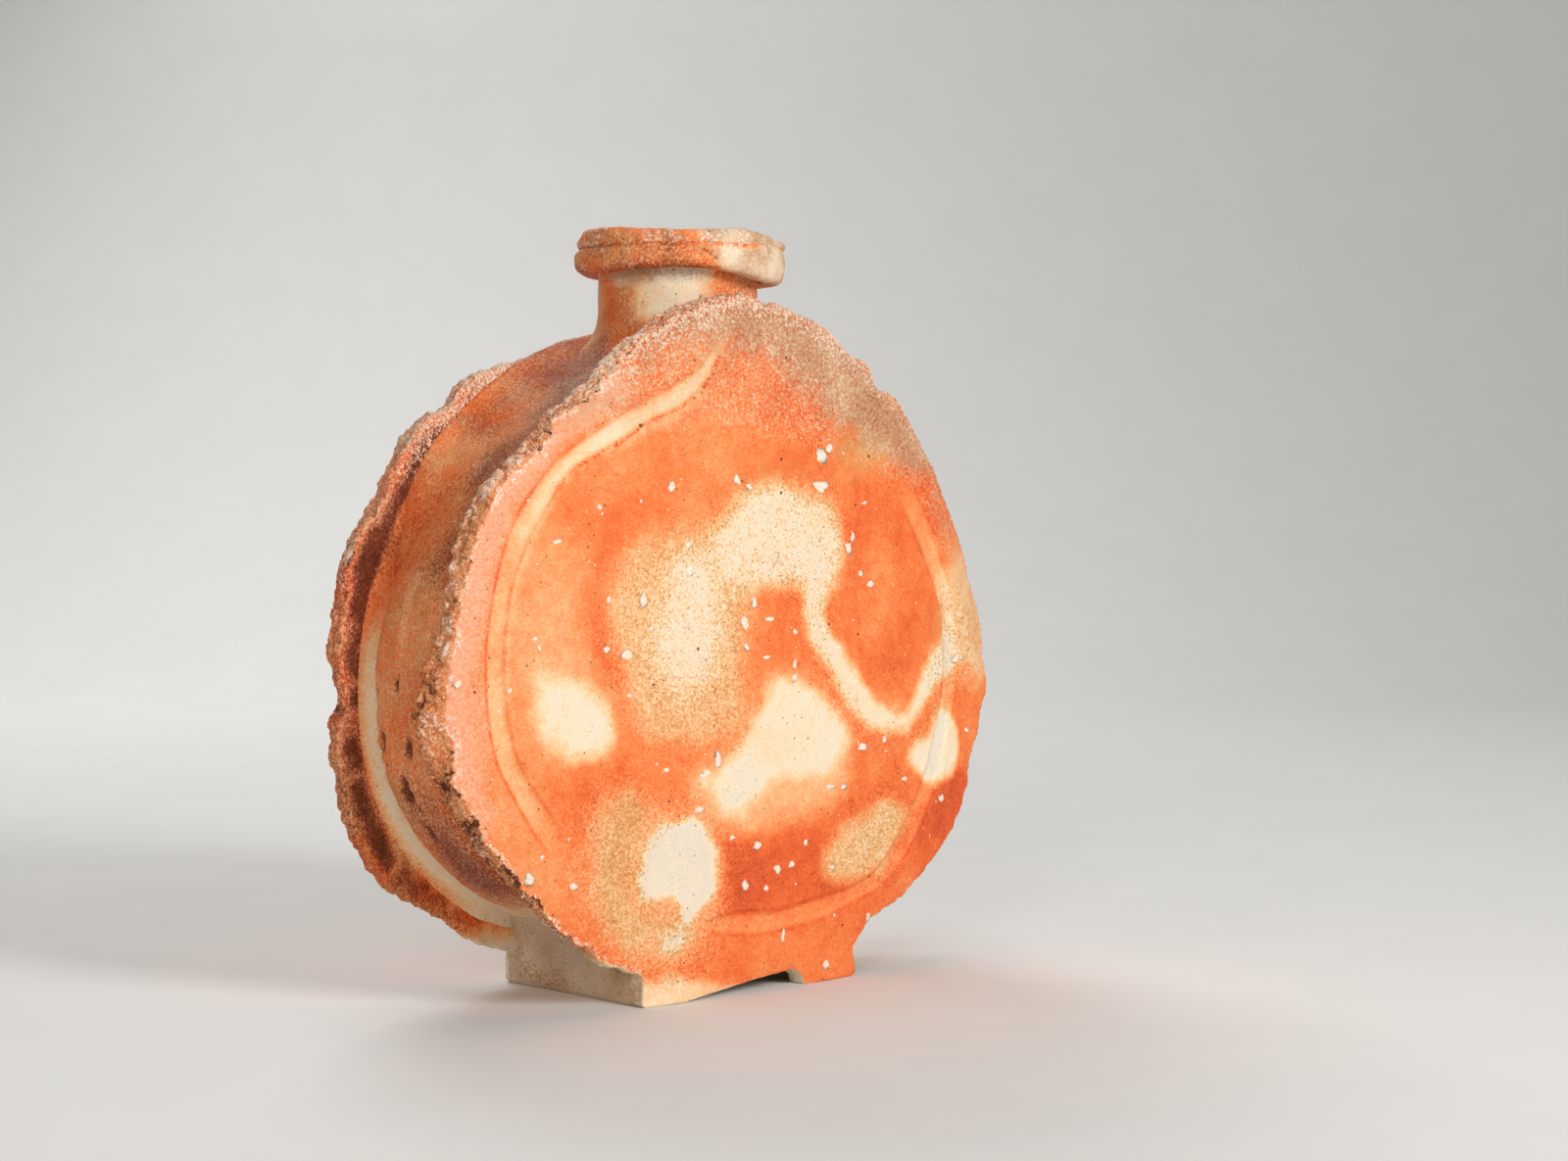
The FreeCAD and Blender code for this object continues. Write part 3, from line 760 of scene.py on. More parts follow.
# Where the flame left its marks on the front, read off the photo in pixels (x, y, x, y and so on). Each patch has its
# softness in mm and its level: for the flash 0 is full flash and 1 is bare clay. A width, in mm, makes a band.
frontFire = {
    "flash": [
        ("left margin", 8, 0.43, [620, 372, 560, 425, 505, 490, 470, 560, 452, 640, 440, 720, 448, 780, 480, 840,
         510, 830, 500, 740, 500, 640, 520, 550, 560, 480, 620, 430]),
        ("peach left of the middle", 12, 0.47, [548, 520, 590, 545, 604, 620, 596, 690, 565, 720, 528, 700, 518, 640,
         524, 570]),
        ("lower left", 10, 0.43, [470, 700, 520, 690, 545, 800, 580, 880, 560, 930, 500, 870]),
        ("upper left", 10, 0.36, [560, 470, 700, 400, 740, 430, 700, 470, 600, 520]),
        ("orange column", 7, 0.22, [605, 560, 640, 500, 640, 600, 632, 700, 640, 790, 560, 800, 622, 740, 605, 660]),
        ("low orange", 9, 0.15, [735, 850, 850, 840, 900, 800, 930, 860, 860, 920, 740, 940]),
        ("oval", 6, 0.26, [868, 500, 900, 480, 945, 560, 955, 640, 930, 690, 890, 700, 862, 640, 858, 560]),
        ("oval middle", 7, 0.37, [885, 560, 905, 560, 912, 610, 895, 650, 878, 620]),
        ("right red", 6, 0.1, [935, 830, 975, 780, 985, 800, 975, 850, 940, 880]),
        ("left stroke", 2.4, 0.58, [735, 352, 706, 398, 670, 424, 630, 441, 598, 462, 568, 492, 546, 536, 528, 590,
         518, 650, 516, 720], {"wide": [4, 8, 9, 9, 8, 6, 5, 4, 3, 2]}),
        ("lower right margin", 5, 0.22, [925, 880, 955, 850, 965, 870, 940, 900]),
        ("glow round the left spot", 8, 0.51, [540, 610, 575, 600, 592, 660, 622, 712, 634, 745, 622, 775, 592, 788,
         560, 780, 540, 755, 528, 700]),
        ("left spot", 4.5, 0.88, [548, 690, 572, 692, 598, 705, 612, 720, 622, 736, 622, 756, 611, 770, 594, 776,
         578, 772, 562, 760, 552, 742]),
        ("glow round the middle spot", 6, 0.55, [785, 690, 815, 690, 850, 712, 872, 745, 868, 792, 850, 818, 815, 836,
         775, 846, 742, 848, 718, 820, 702, 796, 735, 772, 762, 735]),
        ("middle spot", 4.0, 0.88, [796, 698, 815, 699, 840, 715, 857, 730, 866, 749, 862, 766, 850, 782, 828, 792,
         796, 798, 768, 815, 752, 831, 738, 827, 726, 808, 717, 796, 738, 784, 757, 768, 770, 744, 781, 718]),
        ("haze left of the middle", 8, 0.58, [640, 562, 690, 545, 728, 535, 755, 560, 762, 610, 764, 660, 760, 705,
         752, 738, 728, 752, 695, 752, 662, 745, 646, 720, 634, 690, 622, 650, 620, 605]),
        ("pale middle of that haze", 9, 0.84, [672, 640, 690, 575, 715, 560, 735, 590, 735, 660, 720, 700, 690, 712,
         668, 690]),
        ("pale crown", 6, 0.84, [752, 505, 790, 492, 830, 505, 852, 530, 858, 575, 842, 610, 820, 600, 790, 598,
         760, 600, 735, 590, 722, 555]),
        ("pale ribbon", 3.2, 0.84, [838, 560, 832, 600, 832, 640, 850, 668, 868, 702, 892, 730, 922, 736, 936, 716,
         948, 690, 966, 664, 980, 642, 986, 612], {"wide": [13, 11, 10, 10, 11, 11, 9, 7, 8, 13, 17, 16]}),
        ("right edge glow", 9, 0.68, [962, 590, 985, 560, 1002, 610, 1004, 670, 990, 690, 970, 668], {"wander": 2.5}),
        ("lower left haze", 7, 0.5, [606, 832, 640, 806, 682, 824, 728, 848, 738, 885, 735, 925, 714, 962, 700, 985,
         660, 988, 622, 962, 600, 920, 598, 872]),
        ("lower left bare", 3.0, 1.0, [690, 838, 711, 840, 724, 856, 729, 880, 728, 906, 718, 926, 704, 942, 695, 944,
         692, 926, 680, 914, 668, 921, 655, 914, 651, 904, 658, 885, 661, 862, 673, 846]),
        ("small bare tail", 3, 0.9, [672, 972, 692, 968, 702, 955, 690, 946, 677, 956]),
        ("right spot", 3.2, 0.86, [954, 724, 968, 722, 975, 740, 976, 765, 970, 786, 958, 796, 945, 795, 932, 783,
         928, 769, 936, 759, 946, 753, 950, 738]),
        ("right haze", 5, 0.6, [880, 832, 906, 812, 924, 832, 914, 860, 902, 884, 872, 898, 846, 894, 842, 870,
         856, 848]),
        ("foot tip", 3, 0.78, [650, 1002, 690, 1000, 745, 998, 750, 1012, 700, 1030, 660, 1034]),
        ("foot step", 5, 0.3, [700, 985, 745, 965, 800, 985, 780, 1000, 730, 1005]),
    ],
    "haze": [
        ("middle and right", 6, 0.75, [630, 560, 700, 530, 760, 490, 840, 490, 870, 560, 850, 640, 880, 720, 930, 745,
         990, 600, 1005, 660, 985, 700, 930, 760, 860, 740, 800, 610, 765, 620, 765, 740, 720, 765, 650, 750,
         615, 650]),
        ("lower left", 8, 1.0, [590, 830, 640, 795, 740, 850, 745, 930, 700, 1000, 640, 990, 585, 920]),
        ("lower right", 6, 0.9, [865, 830, 906, 800, 935, 830, 905, 900, 860, 910, 835, 890]),
        ("crest", 10, 0.8, [640, 300, 780, 290, 900, 370, 965, 490, 870, 480, 800, 440, 700, 400, 600, 400]),
        ("clear of the bare spot", 3, 0.1, [690, 838, 711, 840, 724, 856, 729, 880, 728, 906, 718, 926, 704, 942,
         692, 926, 668, 921, 658, 885]),
    ],
    "gold": [
        ("above the middle", 14, 0.45, [622, 600, 660, 555, 740, 520, 770, 480, 800, 470, 840, 490, 770, 500,
         700, 560, 640, 640]),
        ("below the haze", 12, 0.4, [645, 700, 700, 715, 760, 700, 750, 745, 690, 755, 655, 745]),
        ("lower left", 10, 0.56, [604, 840, 640, 812, 660, 830, 655, 880, 650, 920, 690, 935, 690, 960, 650, 970,
         610, 940]),
        ("lower right", 10, 0.55, [860, 845, 900, 818, 922, 832, 905, 880, 860, 900, 842, 885]),
        ("under the crest", 10, 0.6, [850, 430, 905, 450, 900, 475, 860, 480]),
        ("right edge", 8, 0.35, [955, 600, 985, 600, 1000, 660, 960, 690, 940, 690]),
        ("above the ribbon", 8, 0.35, [762, 560, 800, 555, 830, 600, 800, 602]),
    ],
    "ash": [
        ("upper left", 13, 0.34, [585, 420, 640, 360, 720, 340, 790, 370, 800, 420, 720, 430, 650, 450, 600, 450]),
        ("crest", 15, 0.3, [640, 330, 760, 310, 900, 390, 965, 490, 880, 476, 800, 440, 720, 415, 650, 405]),
        ("top edge", 9, 0.86, [600, 380, 680, 310, 760, 296, 800, 305, 860, 335, 905, 385, 945, 440, 968, 500,
         940, 482, 905, 462, 870, 440, 840, 412, 800, 376, 750, 352, 700, 352, 650, 372]),
        ("left of the crest", 7, 0.5, [560, 420, 640, 365, 720, 345, 640, 400, 570, 445]),
        ("right edge", 7, 0.5, [955, 470, 990, 560, 1004, 640, 998, 690, 975, 600, 950, 530], {"most": 0.8}),
    ],
    "pink": [
        ("left margin", 8, 0.5, [620, 372, 560, 425, 505, 490, 470, 560, 452, 640, 440, 720, 448, 780, 480, 840,
         510, 830, 500, 740, 500, 640, 520, 550, 560, 480, 620, 430, 660, 400]),
    ],
}
# The back isn't seen in the photo: the same fire, with marks of its own, as x, z in mm.
backFire = {
    "flash": [
        ("upper glow", 20, 0.55, [-92, 188, -22, 215, 14, 165, -28, 110, -96, 120]),
        ("lower glow", 18, 0.52, [12, 128, 86, 120, 100, 65, 50, 36, 2, 65]),
        ("upper spot", 14, 0.9, [-70, 170, -30, 190, -10, 160, -35, 130, -75, 135]),
        ("lower spot", 11, 0.95, [35, 110, 70, 100, 80, 70, 50, 55, 22, 75]),
        ("small spot", 9, 0.8, [-60, 80, -35, 85, -28, 62, -50, 50]),
        ("right spot", 12, 0.75, [50, 190, 80, 170, 95, 140, 75, 150]),
        ("foot", 5, 0.85, [-45, 14, 45, 14, 52, 0, -52, 0]),
    ],
    "haze": [
        ("upper", 20, 0.8, [-100, 190, 20, 210, 30, 120, -90, 110]),
        ("lower", 16, 0.5, [10, 120, 95, 110, 90, 50, 10, 50]),
    ],
    "gold": [
        ("left", 14, 0.6, [-90, 150, -40, 120, -60, 100, -100, 120]),
        ("right", 10, 0.5, [30, 130, 80, 120, 60, 105]),
    ],
    "ash": [
        ("crest", 14, 0.8, [-80, 215, 0, 245, 80, 215, 40, 200, -40, 205]),
    ],
}


def layPatch(field, spots, patch, wander, toFace):
    # lays one mark of the fire over a field: a closed patch, or with a width a band along a line
    soft, level, at = patch[1:4]
    extra = patch[4] if len(patch) > 4 else {}
    places = np.array([toFace(x, y) for x, y in zip(at[::2], at[1::2])])
    if "wide" in extra:
        gap, along = gapToLine(spots, smoothRun(places, patchStep))
        gap = gap - np.interp(along, np.linspace(0, 1, len(extra["wide"])), extra["wide"]) / 2
    else:
        gap = gapToPatch(spots, smoothRun(np.vstack([places, places[:1]]), patchStep)[:-1])
    gap = gap + wander * extra.get("wander", 1.0)
    weight = eased(-gap, -soft, soft) * extra.get("most", 1.0)
    return field + (level - field) * weight


def layFire(marks, here, fire, ground, wander, more, toFace):
    # lays every mark of the fire over a face; the flash starts from a ground level
    spots = here[:, [0, 2]]
    for label, patches in fire.items():
        flash = label == "flash"
        field = ground if flash else np.zeros(len(here))
        for patch in patches:
            field = layPatch(field, spots, patch, wander if flash else wander * more, toFace)
        marks[label][:len(here)] = field


def goldenGrains(marks, face):
    # hazy places have golden grains where the clay is pale
    level = marks["flash"][face]
    golden = 0.5 * marks["haze"][face] * eased(level, 0.46, 0.6) * (1 - 0.5 * eased(level, 0.68, 0.84))
    marks["gold"][face] = np.maximum(marks["gold"][face], golden * (1 - marks["ash"][face]))


def paintFront(marks, points, faceCount, rimGap):
    face = slice(0, faceCount)
    here = points[face]
    wander = 1.6 * roughLumps(here, 9, 31) + 0.8 * roughLumps(here, 3, 32, 2)
    layFire(marks, here, frontFire, 0.31 + 0.07 * roughLumps(here, 40, 33), wander, 1.5, photoToFace)
    # the strokes are pale, with thin darker lines along their edges and dark pores among the crumbs on the inner side
    level = marks["flash"][face]
    pores = eased(0.52 - grains(here, 1.5, 38), 0.0, 0.3)
    uneven = 0.65 + 0.5 * roughLumps(here, 8, 36)
    for ink, inward, half, ends, upper in acrossStrokes(here[:, [0, 2]], frontSlab):
        within = 1 - eased(np.abs(inward) / half, 0.6, 1.0)
        level += ends * within * (0.14 + 0.07 * upper * eased(inward / half, -0.9, 0.6))
        level -= 0.26 * ink * ends * uneven * (1 - 0.8 * upper) * ridge(inward + half, 0.7)
        level -= 0.16 * ink * ends * uneven * ridge(inward - half, 0.5)
        level -= 0.5 * ends * upper * pores * ridge(inward - half - 0.5, 0.7)
    goldenGrains(marks, face)
    left = eased(-here[:, 0], -40, 60)
    marks["pink"][face] += 0.2 * np.exp(-rimGap / 5.0) * left
    rim = np.exp(-rimGap / 2.0)
    marks["torn"][face] = np.clip(rim * (0.12 + 0.4 * roughLumps(here, 6, 34)) * (0.3 + 0.7 * left), 0, 1)
    dry = np.exp(-rimGap / 1.3) * (0.4 + 0.6 * roughLumps(here, 7, 37)) * left
    dry += 0.55 * np.exp(-rimGap / 5.0) * eased(here[:, 2], 200, 235)
    marks["dry"][face] = np.clip(dry, 0, 0.6)


def paintBack(marks, points, faceCount, rimGap):
    face = slice(0, faceCount)
    here = points[face]
    wander = 5 * roughLumps(here, 22, 51) + 1.2 * roughLumps(here, 5, 52, 2)
    layFire(marks, here, backFire, 0.3 + 0.1 * roughLumps(here, 45, 53), wander, 1.0, lambda x, z: (x, z))
    goldenGrains(marks, face)
    marks["torn"][face] = np.exp(-rimGap / 2.0) * 0.7
    # a pale crumbly place on the upper left of the edge
    edge = points[faceCount:]
    outside = (edge[:, 0] < -100) & (edge[:, 1] > innerDepth(edge[:, 0], edge[:, 2]) + 0.8)
    crust = ridge(edge[:, 2] - 158, 8.0) * outside * (0.6 + 0.6 * roughLumps(edge, 6, 57))
    marks["dry"][faceCount:] = np.maximum(marks["dry"][faceCount:], np.clip(crust, 0, 0.9))
    marks["pink"][faceCount:] += 0.35 * eased(-edge[:, 0], 60, 110) * eased(edge[:, 2], 40, 80)


def edgePaint(marks, points, faceCount, proud, inward, slab):
    # the broken edge: crumbly tan; paler where it stands proud, as dry crumbs with a painted highlight; painted shade
    # in its hollows, low on the left and inward by the inner face
    edge = slice(faceCount, len(points))
    here = points[edge]
    x, z = here[:, 0], here[:, 2]
    bare, seed = slab["bare"], slab["seed"] + 30
    tone = roughLumps(here, 13, seed)
    # painted shade low on the left, where the light falls off
    low = eased(112 - z, 0, 40) * eased(-x, 0, 40) * eased(z, 14, 34)
    high = eased(z, 170, 215)
    left = eased(-x, 0, 50) * bare
    # painted shade in the sunk places of the edge
    hollowShade = eased(-proud, 0.45, 1.6)
    # inward from the inner rim: deeper flash colour with painted shade
    deepInShade = eased(inward, 0.5, 6.0)
    glow = eased(inward, 5.5, 9.5) * eased(150 - z, 0, 30) * (1 - bare)   # by the cove the inner side is orange
    dark = low * (0.5 + 0.4 * tone) * bare + 0.66 * hollowShade * (0.3 + 0.7 * bare) + slab["scorch"] * (1 - high)
    # painted shade inward from the inner rim, with some scorch
    dark += slab["innerScorch"] * deepInShade * eased(z, 28, 62)
    # paler on the proud lumps: dry crumbs lightened as a painted highlight, and dry along the top
    crust = eased(proud, 0.1, 1.2) * (0.7 + 0.5 * tone) * bare * (1 - 0.5 * low) + 0.5 * high * (1 - 0.3 * left)
    flash = 0.36 + 0.16 * tone - 0.22 * deepInShade + 0.3 * glow
    foot = eased(26 - z, 0, 12)
    marks["flash"][edge] = flash + (0.92 - flash) * foot
    marks["haze"][edge] = 0.2
    marks["torn"][edge] = np.clip(bare + 0.4 * roughLumps(here, 12, seed + 1), 0, 1) * (1 - foot)
    marks["pink"][edge] = np.clip(0.35 * roughLumps(here, 18, seed + 2), 0, 1) * (1 - foot)
    marks["burnt"][edge] = np.clip(dark * (1 - 0.75 * glow), 0, 1) * (1 - foot)
    marks["dry"][edge] = np.clip(crust, 0, 0.75) * (1 - foot)
    ash = np.clip(high * (0.85 + 0.4 * tone) * (1 - 0.3 * left), 0, 0.95)
    marks["ash"][edge] = ash + (0.3 + 0.4 * tone) * foot


frontPiece = makeSlab("frontSlab", frontSlab, -1, frontRelief, paintFront)
seat(frontPiece, "flashed_slab", "front_slab")
backPiece = makeSlab("backSlab", backSlab, 1, backRelief, paintBack)
seat(backPiece, "flashed_slab", "back_slab")


# Strips that follow the body: wall, belt and cove
wallStrip = {
    "edge": [
        (90, 0.823), (105, 0.819), (120, 0.823), (135, 0.840), (150, 0.876), (165, 0.920), (178, 0.958),
        (190, 0.990), (201, 1.004), (212, 0.988), (223, 0.953), (236, 0.910), (253, 0.873), (270, 0.862),
    ],
    "thick": 7.5,
    "slip": 0.2,
    "rows": 44,
    "backRows": 8,
    "step": 1.3,
    "backRise": 6.5,     # how far the upper wall is smoothed up against the slabs
    "frontRise": 1.5,
    "backFrom": -4.0,    # y where the rise to the back starts
    "riseFrom": 150.0,
    "riseFull": 205.0,
    "still": 20.0,       # below this height the unevenness doesn't move it up or down
}
belt = {
    "thick": 3.1,
    "rear": 11.5,
    "top": 204.0,
    "bottom": 26.0,
    "rows": 36,
    "backRows": 6,
    "sunk": -1.6,        # how far its underside lies in the wall
    "taper": 16.0,       # length of its thin lower end
    "fadeFrom": 138.0,
    "fadeTo": 180.0,
    # pits in it, as (height, y, depth, radius)
    "pits": [(96, 8, 2.2, 2.1), (78.4, 0.8, 2.8, 2.8), (115.7, -2.5, 1.3, 1.1), (112.4, 9.2, 0.8, 0.8),
             (94, -7, 1.7, 1.7), (87.5, 7.5, 0.8, 0.8), (64, -3, 1.0, 1.2), (121, 13.5, 0.8, 0.8),
             (99, -14, 1.0, 1.2)],
}
cove = {
    "deep": 6.4,
    "least": 1.2,        # its depth at the ends
    "front": 7.5,
    "rows": 18,
    "sunk": -1.6,
    "bottom": 23.5,
    "topTaper": 50.0,    # lengths over which its ends run out
    "lowTaper": 14.0,
    "paleTop": 106.0,
    "paleGone": 160.0,
}


def wallPath():
    # the wall's outer face from the top round the left to the bottom, with outward directions
    points = [facePoint(*p, body["wallHalf"], body["wallHalf"]) for p in wallStrip["edge"]]
    first, last = points[1], points[-2]
    line = smoothRun([(-first[0], first[1])] + points + [(-last[0], last[1])], wallStrip["step"])
    line = evenSteps(line[line[:, 0] <= 0], wallStrip["step"])
    ahead = np.gradient(line, axis=0)
    ahead /= np.linalg.norm(ahead, axis=1)[:, None]
    return line, np.stack([ahead[:, 1], -ahead[:, 0]], 1)


def stripFaces(stations, around):
    # the sides of a closed strip, row by row, and then its two ends
    faces = []
    for i in range(stations - 1):
        for j in range(around):
            k = (j + 1) % around
            faces.append((i * around + j, (i + 1) * around + j, (i + 1) * around + k, i * around + k))
    return faces + [tuple(range(around)), tuple(range((stations - 1) * around, stations * around))]


def sweep(name, run, ways, outerRows, seed, side, finish, still=-1.0):
    # a closed strip along a run: its section gives (out, y) of each row there, then its outer rows are made uneven
    section, push, paint = ways
    grid = []
    for (x, z), (nx, nz) in zip(*run):
        out, y = section(x, z, seed)
        grid.append(np.stack([x + nx * out, y, z + nz * out], 1))
    stations, around = len(grid), len(grid[0])
    points = np.vstack(grid) * [side, 1, 1]
    row = np.tile(np.arange(around), stations)
    moved = points.copy()
    moved[:, [0, 2]] += np.repeat(run[1], around, 0) * [side, 1] * (push(points, seed) * (row < outerRows))[:, None]
    moved[:, 2] = np.where(points[:, 2] < still, points[:, 2], moved[:, 2])
    marks = loosePaint(len(points))
    paint(marks, moved, row, seed)
    return newPiece(name, moved, stripFaces(stations, around), finish, marks)


def wallSection(x, z, seed):
    edge = float(innerDepth(x, z)) - wallStrip["slip"]
    face = np.linspace(-edge, edge, wallStrip["rows"])
    # the upper wall is smoothed up against the back slab, and a little against the front one
    start = wallStrip["backFrom"]
    out = wallStrip["backRise"] * np.square(np.clip((face - start) / (edge - start), 0, 1))
    out += wallStrip["frontRise"] * np.square(np.clip(-face / edge, 0, 1))
    inside = np.full(wallStrip["backRows"], -wallStrip["thick"])
    out = np.concatenate([float(eased(z, wallStrip["riseFrom"], wallStrip["riseFull"])) * out, inside])
    return out, np.concatenate([face, np.linspace(edge, -edge, len(inside))])


def wallPush(points, seed):
    push = 0.5 * roughLumps(points, 22, seed) + 0.35 * roughLumps(points, 5, seed + 1)
    return push + 0.25 * (0.5 - grains(points, 2.4, seed + 2))


def sideFireAndShade(points, seed):
    # the fire's marks on the strips between the slabs, with painted shade on the upper wall next to the front slab
    y, z = points[:, 1], points[:, 2]
    tone = roughLumps(points, 24, seed)
    high, low = eased(z, 140, 215), eased(46 - z, 0, 20)
    flash = 0.33 + 0.08 * high + 0.13 * tone + 0.5 * low
    speckle = np.clip(0.22 * high + 0.25 * roughLumps(points, 10, seed + 4) - 0.05, 0, 0.55)
    # painted shade: darker on the upper wall towards the front slab, added into the scorch below
    shaded = 0.34 * eased(4 - y, 0, 24) * eased(z, 120, 170)
    scorch = np.clip(0.24 + 0.25 * roughLumps(points, 30, seed + 5) + 0.12 * high + shaded, 0, 0.56) * (1 - low)
    return flash, speckle, scorch


def coveTone(points, seed):
    # how bare the clay is beside the cove at each height, with its own unevenness
    tone = roughLumps(points, 16, seed + 27)
    return tone, 1 - eased(points[:, 2] + 6 * tone, cove["paleTop"], cove["paleGone"])


def wallPaint(marks, points, row, seed):
    flash, speckle, scorch = sideFireAndShade(points, seed)
    tone, low = coveTone(points, seed)
    bare = low * eased(points[:, 1] + 2 * tone, belt["rear"] - 1, belt["rear"] + 5)
    marks["flash"][:] = flash + (0.84 + 0.1 * tone - flash) * bare
    marks["ash"][:], marks["burnt"][:] = speckle * (1 - bare), scorch * (1 - bare)
    marks["haze"][:] = 0.4


def beltSection(x, z, seed):
    front = -float(innerDepth(x, z)) + wallStrip["slip"]
    spot = np.array([[x, 0.0, z]])
    rear = belt["rear"] + 1.1 * float(roughLumps(spot, 24, seed)[0]) + 0.3 * float(lumps(spot, 9, seed + 1)[0])
    fade = 1 - float(eased(z, belt["fadeFrom"], belt["fadeTo"]))
    thick = (belt["thick"] * fade) * float(eased(z - belt["bottom"], 0, belt["taper"]))
    t = np.linspace(0, 1, belt["rows"])
    swell = (0.82 + 0.18 * np.sin(math.pi * np.clip(t * 1.05, 0, 1))) * eased(t, -0.02, 0.16)
    rim = 1 - 0.6 * np.clip((t - 0.9) / 0.1, 0, 1) ** 2
    out = 0.2 - 0.5 * (1 - fade) + thick * swell * rim
    inside = np.full(belt["backRows"], belt["sunk"])
    y = np.concatenate([front + (rear - front) * t, np.linspace(rear - 0.3, front, len(inside))])
    return np.concatenate([out, inside]), y


def pitGaps(points, seed):
    # distance from each pit in its own radii, made uneven so that no pit is round
    uneven = 1 + 0.45 * lumps(points, 3.0, seed + 12) + 0.2 * lumps(points, 1.5, seed + 13)
    for high, y, deep, wide in belt["pits"]:
        gap = np.hypot(points[:, 1] - y, (points[:, 2] - high) * 0.65) / wide
        yield gap * np.clip(uneven, 0.4, 2), deep


def beltPush(points, seed):
    push = 0.5 * roughLumps(points, 15, seed + 3) + 0.3 * roughLumps(points, 4, seed + 4, 2)
    for gap, deep in pitGaps(points, seed):
        push += deep * (0.3 * ridge(gap - 2.1, 0.6) - ridge(gap, 1.0))
    # the rear half lies a step higher in the upper part
    step = eased(points[:, 1] + 3.4 + 1.2 * lumps(points, 18, seed + 6), -1.8, 1.8)
    push += 0.9 * step * eased(points[:, 2], 110, 124)
    return push * (1 - eased(points[:, 2], belt["fadeFrom"], belt["fadeTo"]))


def beltPaint(marks, points, row, seed):
    y, z = points[:, 1], points[:, 2]
    flash, speckle, scorch = sideFireAndShade(points, seed)
    # painted shade: the belt is darker and more flashed low down, where the light falls off
    low = eased(100 - z, 0, 45) * eased(z, 20, 40)
    marks["flash"][:] = flash + 0.06 - 0.1 * low
    marks["haze"][:] = 0.4
    marks["ash"][:] = 0.2 + speckle * 0.5
    marks["gold"][:] = np.clip(0.05 + 0.4 * roughLumps(points, 12, seed + 8), 0, 0.45)
    marks["burnt"][:] = np.clip(scorch * 0.6 + 0.36 * low, 0, 1)
    # painted shade in the pits
    for gap, deep in pitGaps(points, seed):
        marks["burnt"] += min(deep, 1.0) * ridge(gap, 1.0)
    # a painted shadow line along the belt's rear edge, except near its top
    marks["burnt"] += 0.5 * eased(y, belt["rear"] - 1.2, belt["rear"] + 0.4) * eased(160 - z, 0, 30)
    marks["torn"][:] = np.clip(0.45 * roughLumps(points, 8, seed + 9), 0, 0.6)
    # its upper end is smeared out on the wall and takes the wall's colours
    smeared = eased(z + 5 * roughLumps(points, 9, seed + 10), 132, 166)
    for label, wallMark in zip(("flash", "ash", "burnt", "gold", "torn"), sideFireAndShade(points, seed - 20) + (0.0, 0.0)):
        marks[label] += (wallMark - marks[label]) * smeared


def coveSection(x, z, seed):
    slab = float(innerDepth(x, z)) - 0.15
    ends = float(eased(belt["top"] + 4 - z, 0, cove["topTaper"]) * eased(z - cove["bottom"] + 6, 0, cove["lowTaper"]))
    deep = cove["least"] + (cove["deep"] - cove["least"]) * ends
    front = cove["front"] * (0.55 + 0.45 * ends)
    turn = np.linspace(0, math.pi / 2, cove["rows"])
    out = np.concatenate([0.1 + deep * (1 - np.cos(turn)), [deep * 0.4, cove["sunk"], cove["sunk"]]])
    return out, np.concatenate([slab - front + front * np.sin(turn), [slab, slab, slab - front]])


def covePush(points, seed):
    return 0.4 * roughLumps(points, 12, seed + 3) + 0.2 * roughLumps(points, 4, seed + 4)


def covePaint(marks, points, row, seed):
    share = row / cove["rows"]
    flash, speckle, scorch = sideFireAndShade(points, seed)
    tone, low = coveTone(points, seed - 20)
    bare = (1 - eased(share + 0.04 * tone, 0.28, 0.84)) * low
    marks["flash"][:] = flash + (0.84 + 0.1 * tone - flash) * bare
    # painted shade: darker towards the back slab, in the corner the cove makes with it
    dark = eased(share, 0.45, 0.85) * 0.55 * eased(points[:, 2], 28, 62)
    marks["burnt"][:] = np.clip(dark + scorch, 0, 1) * (1 - bare)
    marks["ash"][:] = speckle * (1 - bare) * (1 - 0.6 * low)
    marks["haze"][:] = 0.45


wallLine, wallOut = wallPath()


def between(low, high):
    # the part of the wall's run between two heights
    keep = (wallLine[:, 1] >= low) & (wallLine[:, 1] <= high)
    return wallLine[keep], wallOut[keep]


wallWays = (wallSection, wallPush, wallPaint)
beltWays = (beltSection, beltPush, beltPaint)
coveWays = (coveSection, covePush, covePaint)
for sideName, side, seed in (("left", 1, 61), ("right", -1, 71)):
    piece = sweep(sideName + "Wall", (wallLine, wallOut), wallWays, wallStrip["rows"], seed, side, wallFinish,
                  wallStrip["still"])
    seat(piece, "flashed_wall", sideName + "_wall")
for sideName, side, seed in (("left", 1, 81), ("right", -1, 91)):
    run = between(belt["bottom"], belt["top"])
    piece = sweep(sideName + "Belt", run, beltWays, belt["rows"], seed, side, wallFinish)
    seat(piece, "flashed_wall", sideName + "_belt")
    run = between(cove["bottom"], belt["top"])
    piece = sweep(sideName + "Cove", run, coveWays, cove["rows"] - 1, seed, side, bareFinish)
    seat(piece, "bare_clay", sideName + "_cove")


# The thrown neck, saddled over the wall's top between the slabs
neck = {
    "radius": 29.4,
    "bore": 23.0,
    "flareTop": 256.0,
    "flareOut": 48.0,
    "flareBend": 3.6,
    "hold": 33.1,        # the flare's half depth between the slabs, before they lean in
    "holdHigh": 240.0,
    "evenFrom": 257.0,   # height where the lip covers it
    "sink": 215.0,
    "leanTo": 139.0,
    "lean": 0.9,
    "bareAt": 229.0,     # angle of its bare belly, which faces the camera
    "columns": 220,
    "rows": 60,
    "boreRows": 14,
}


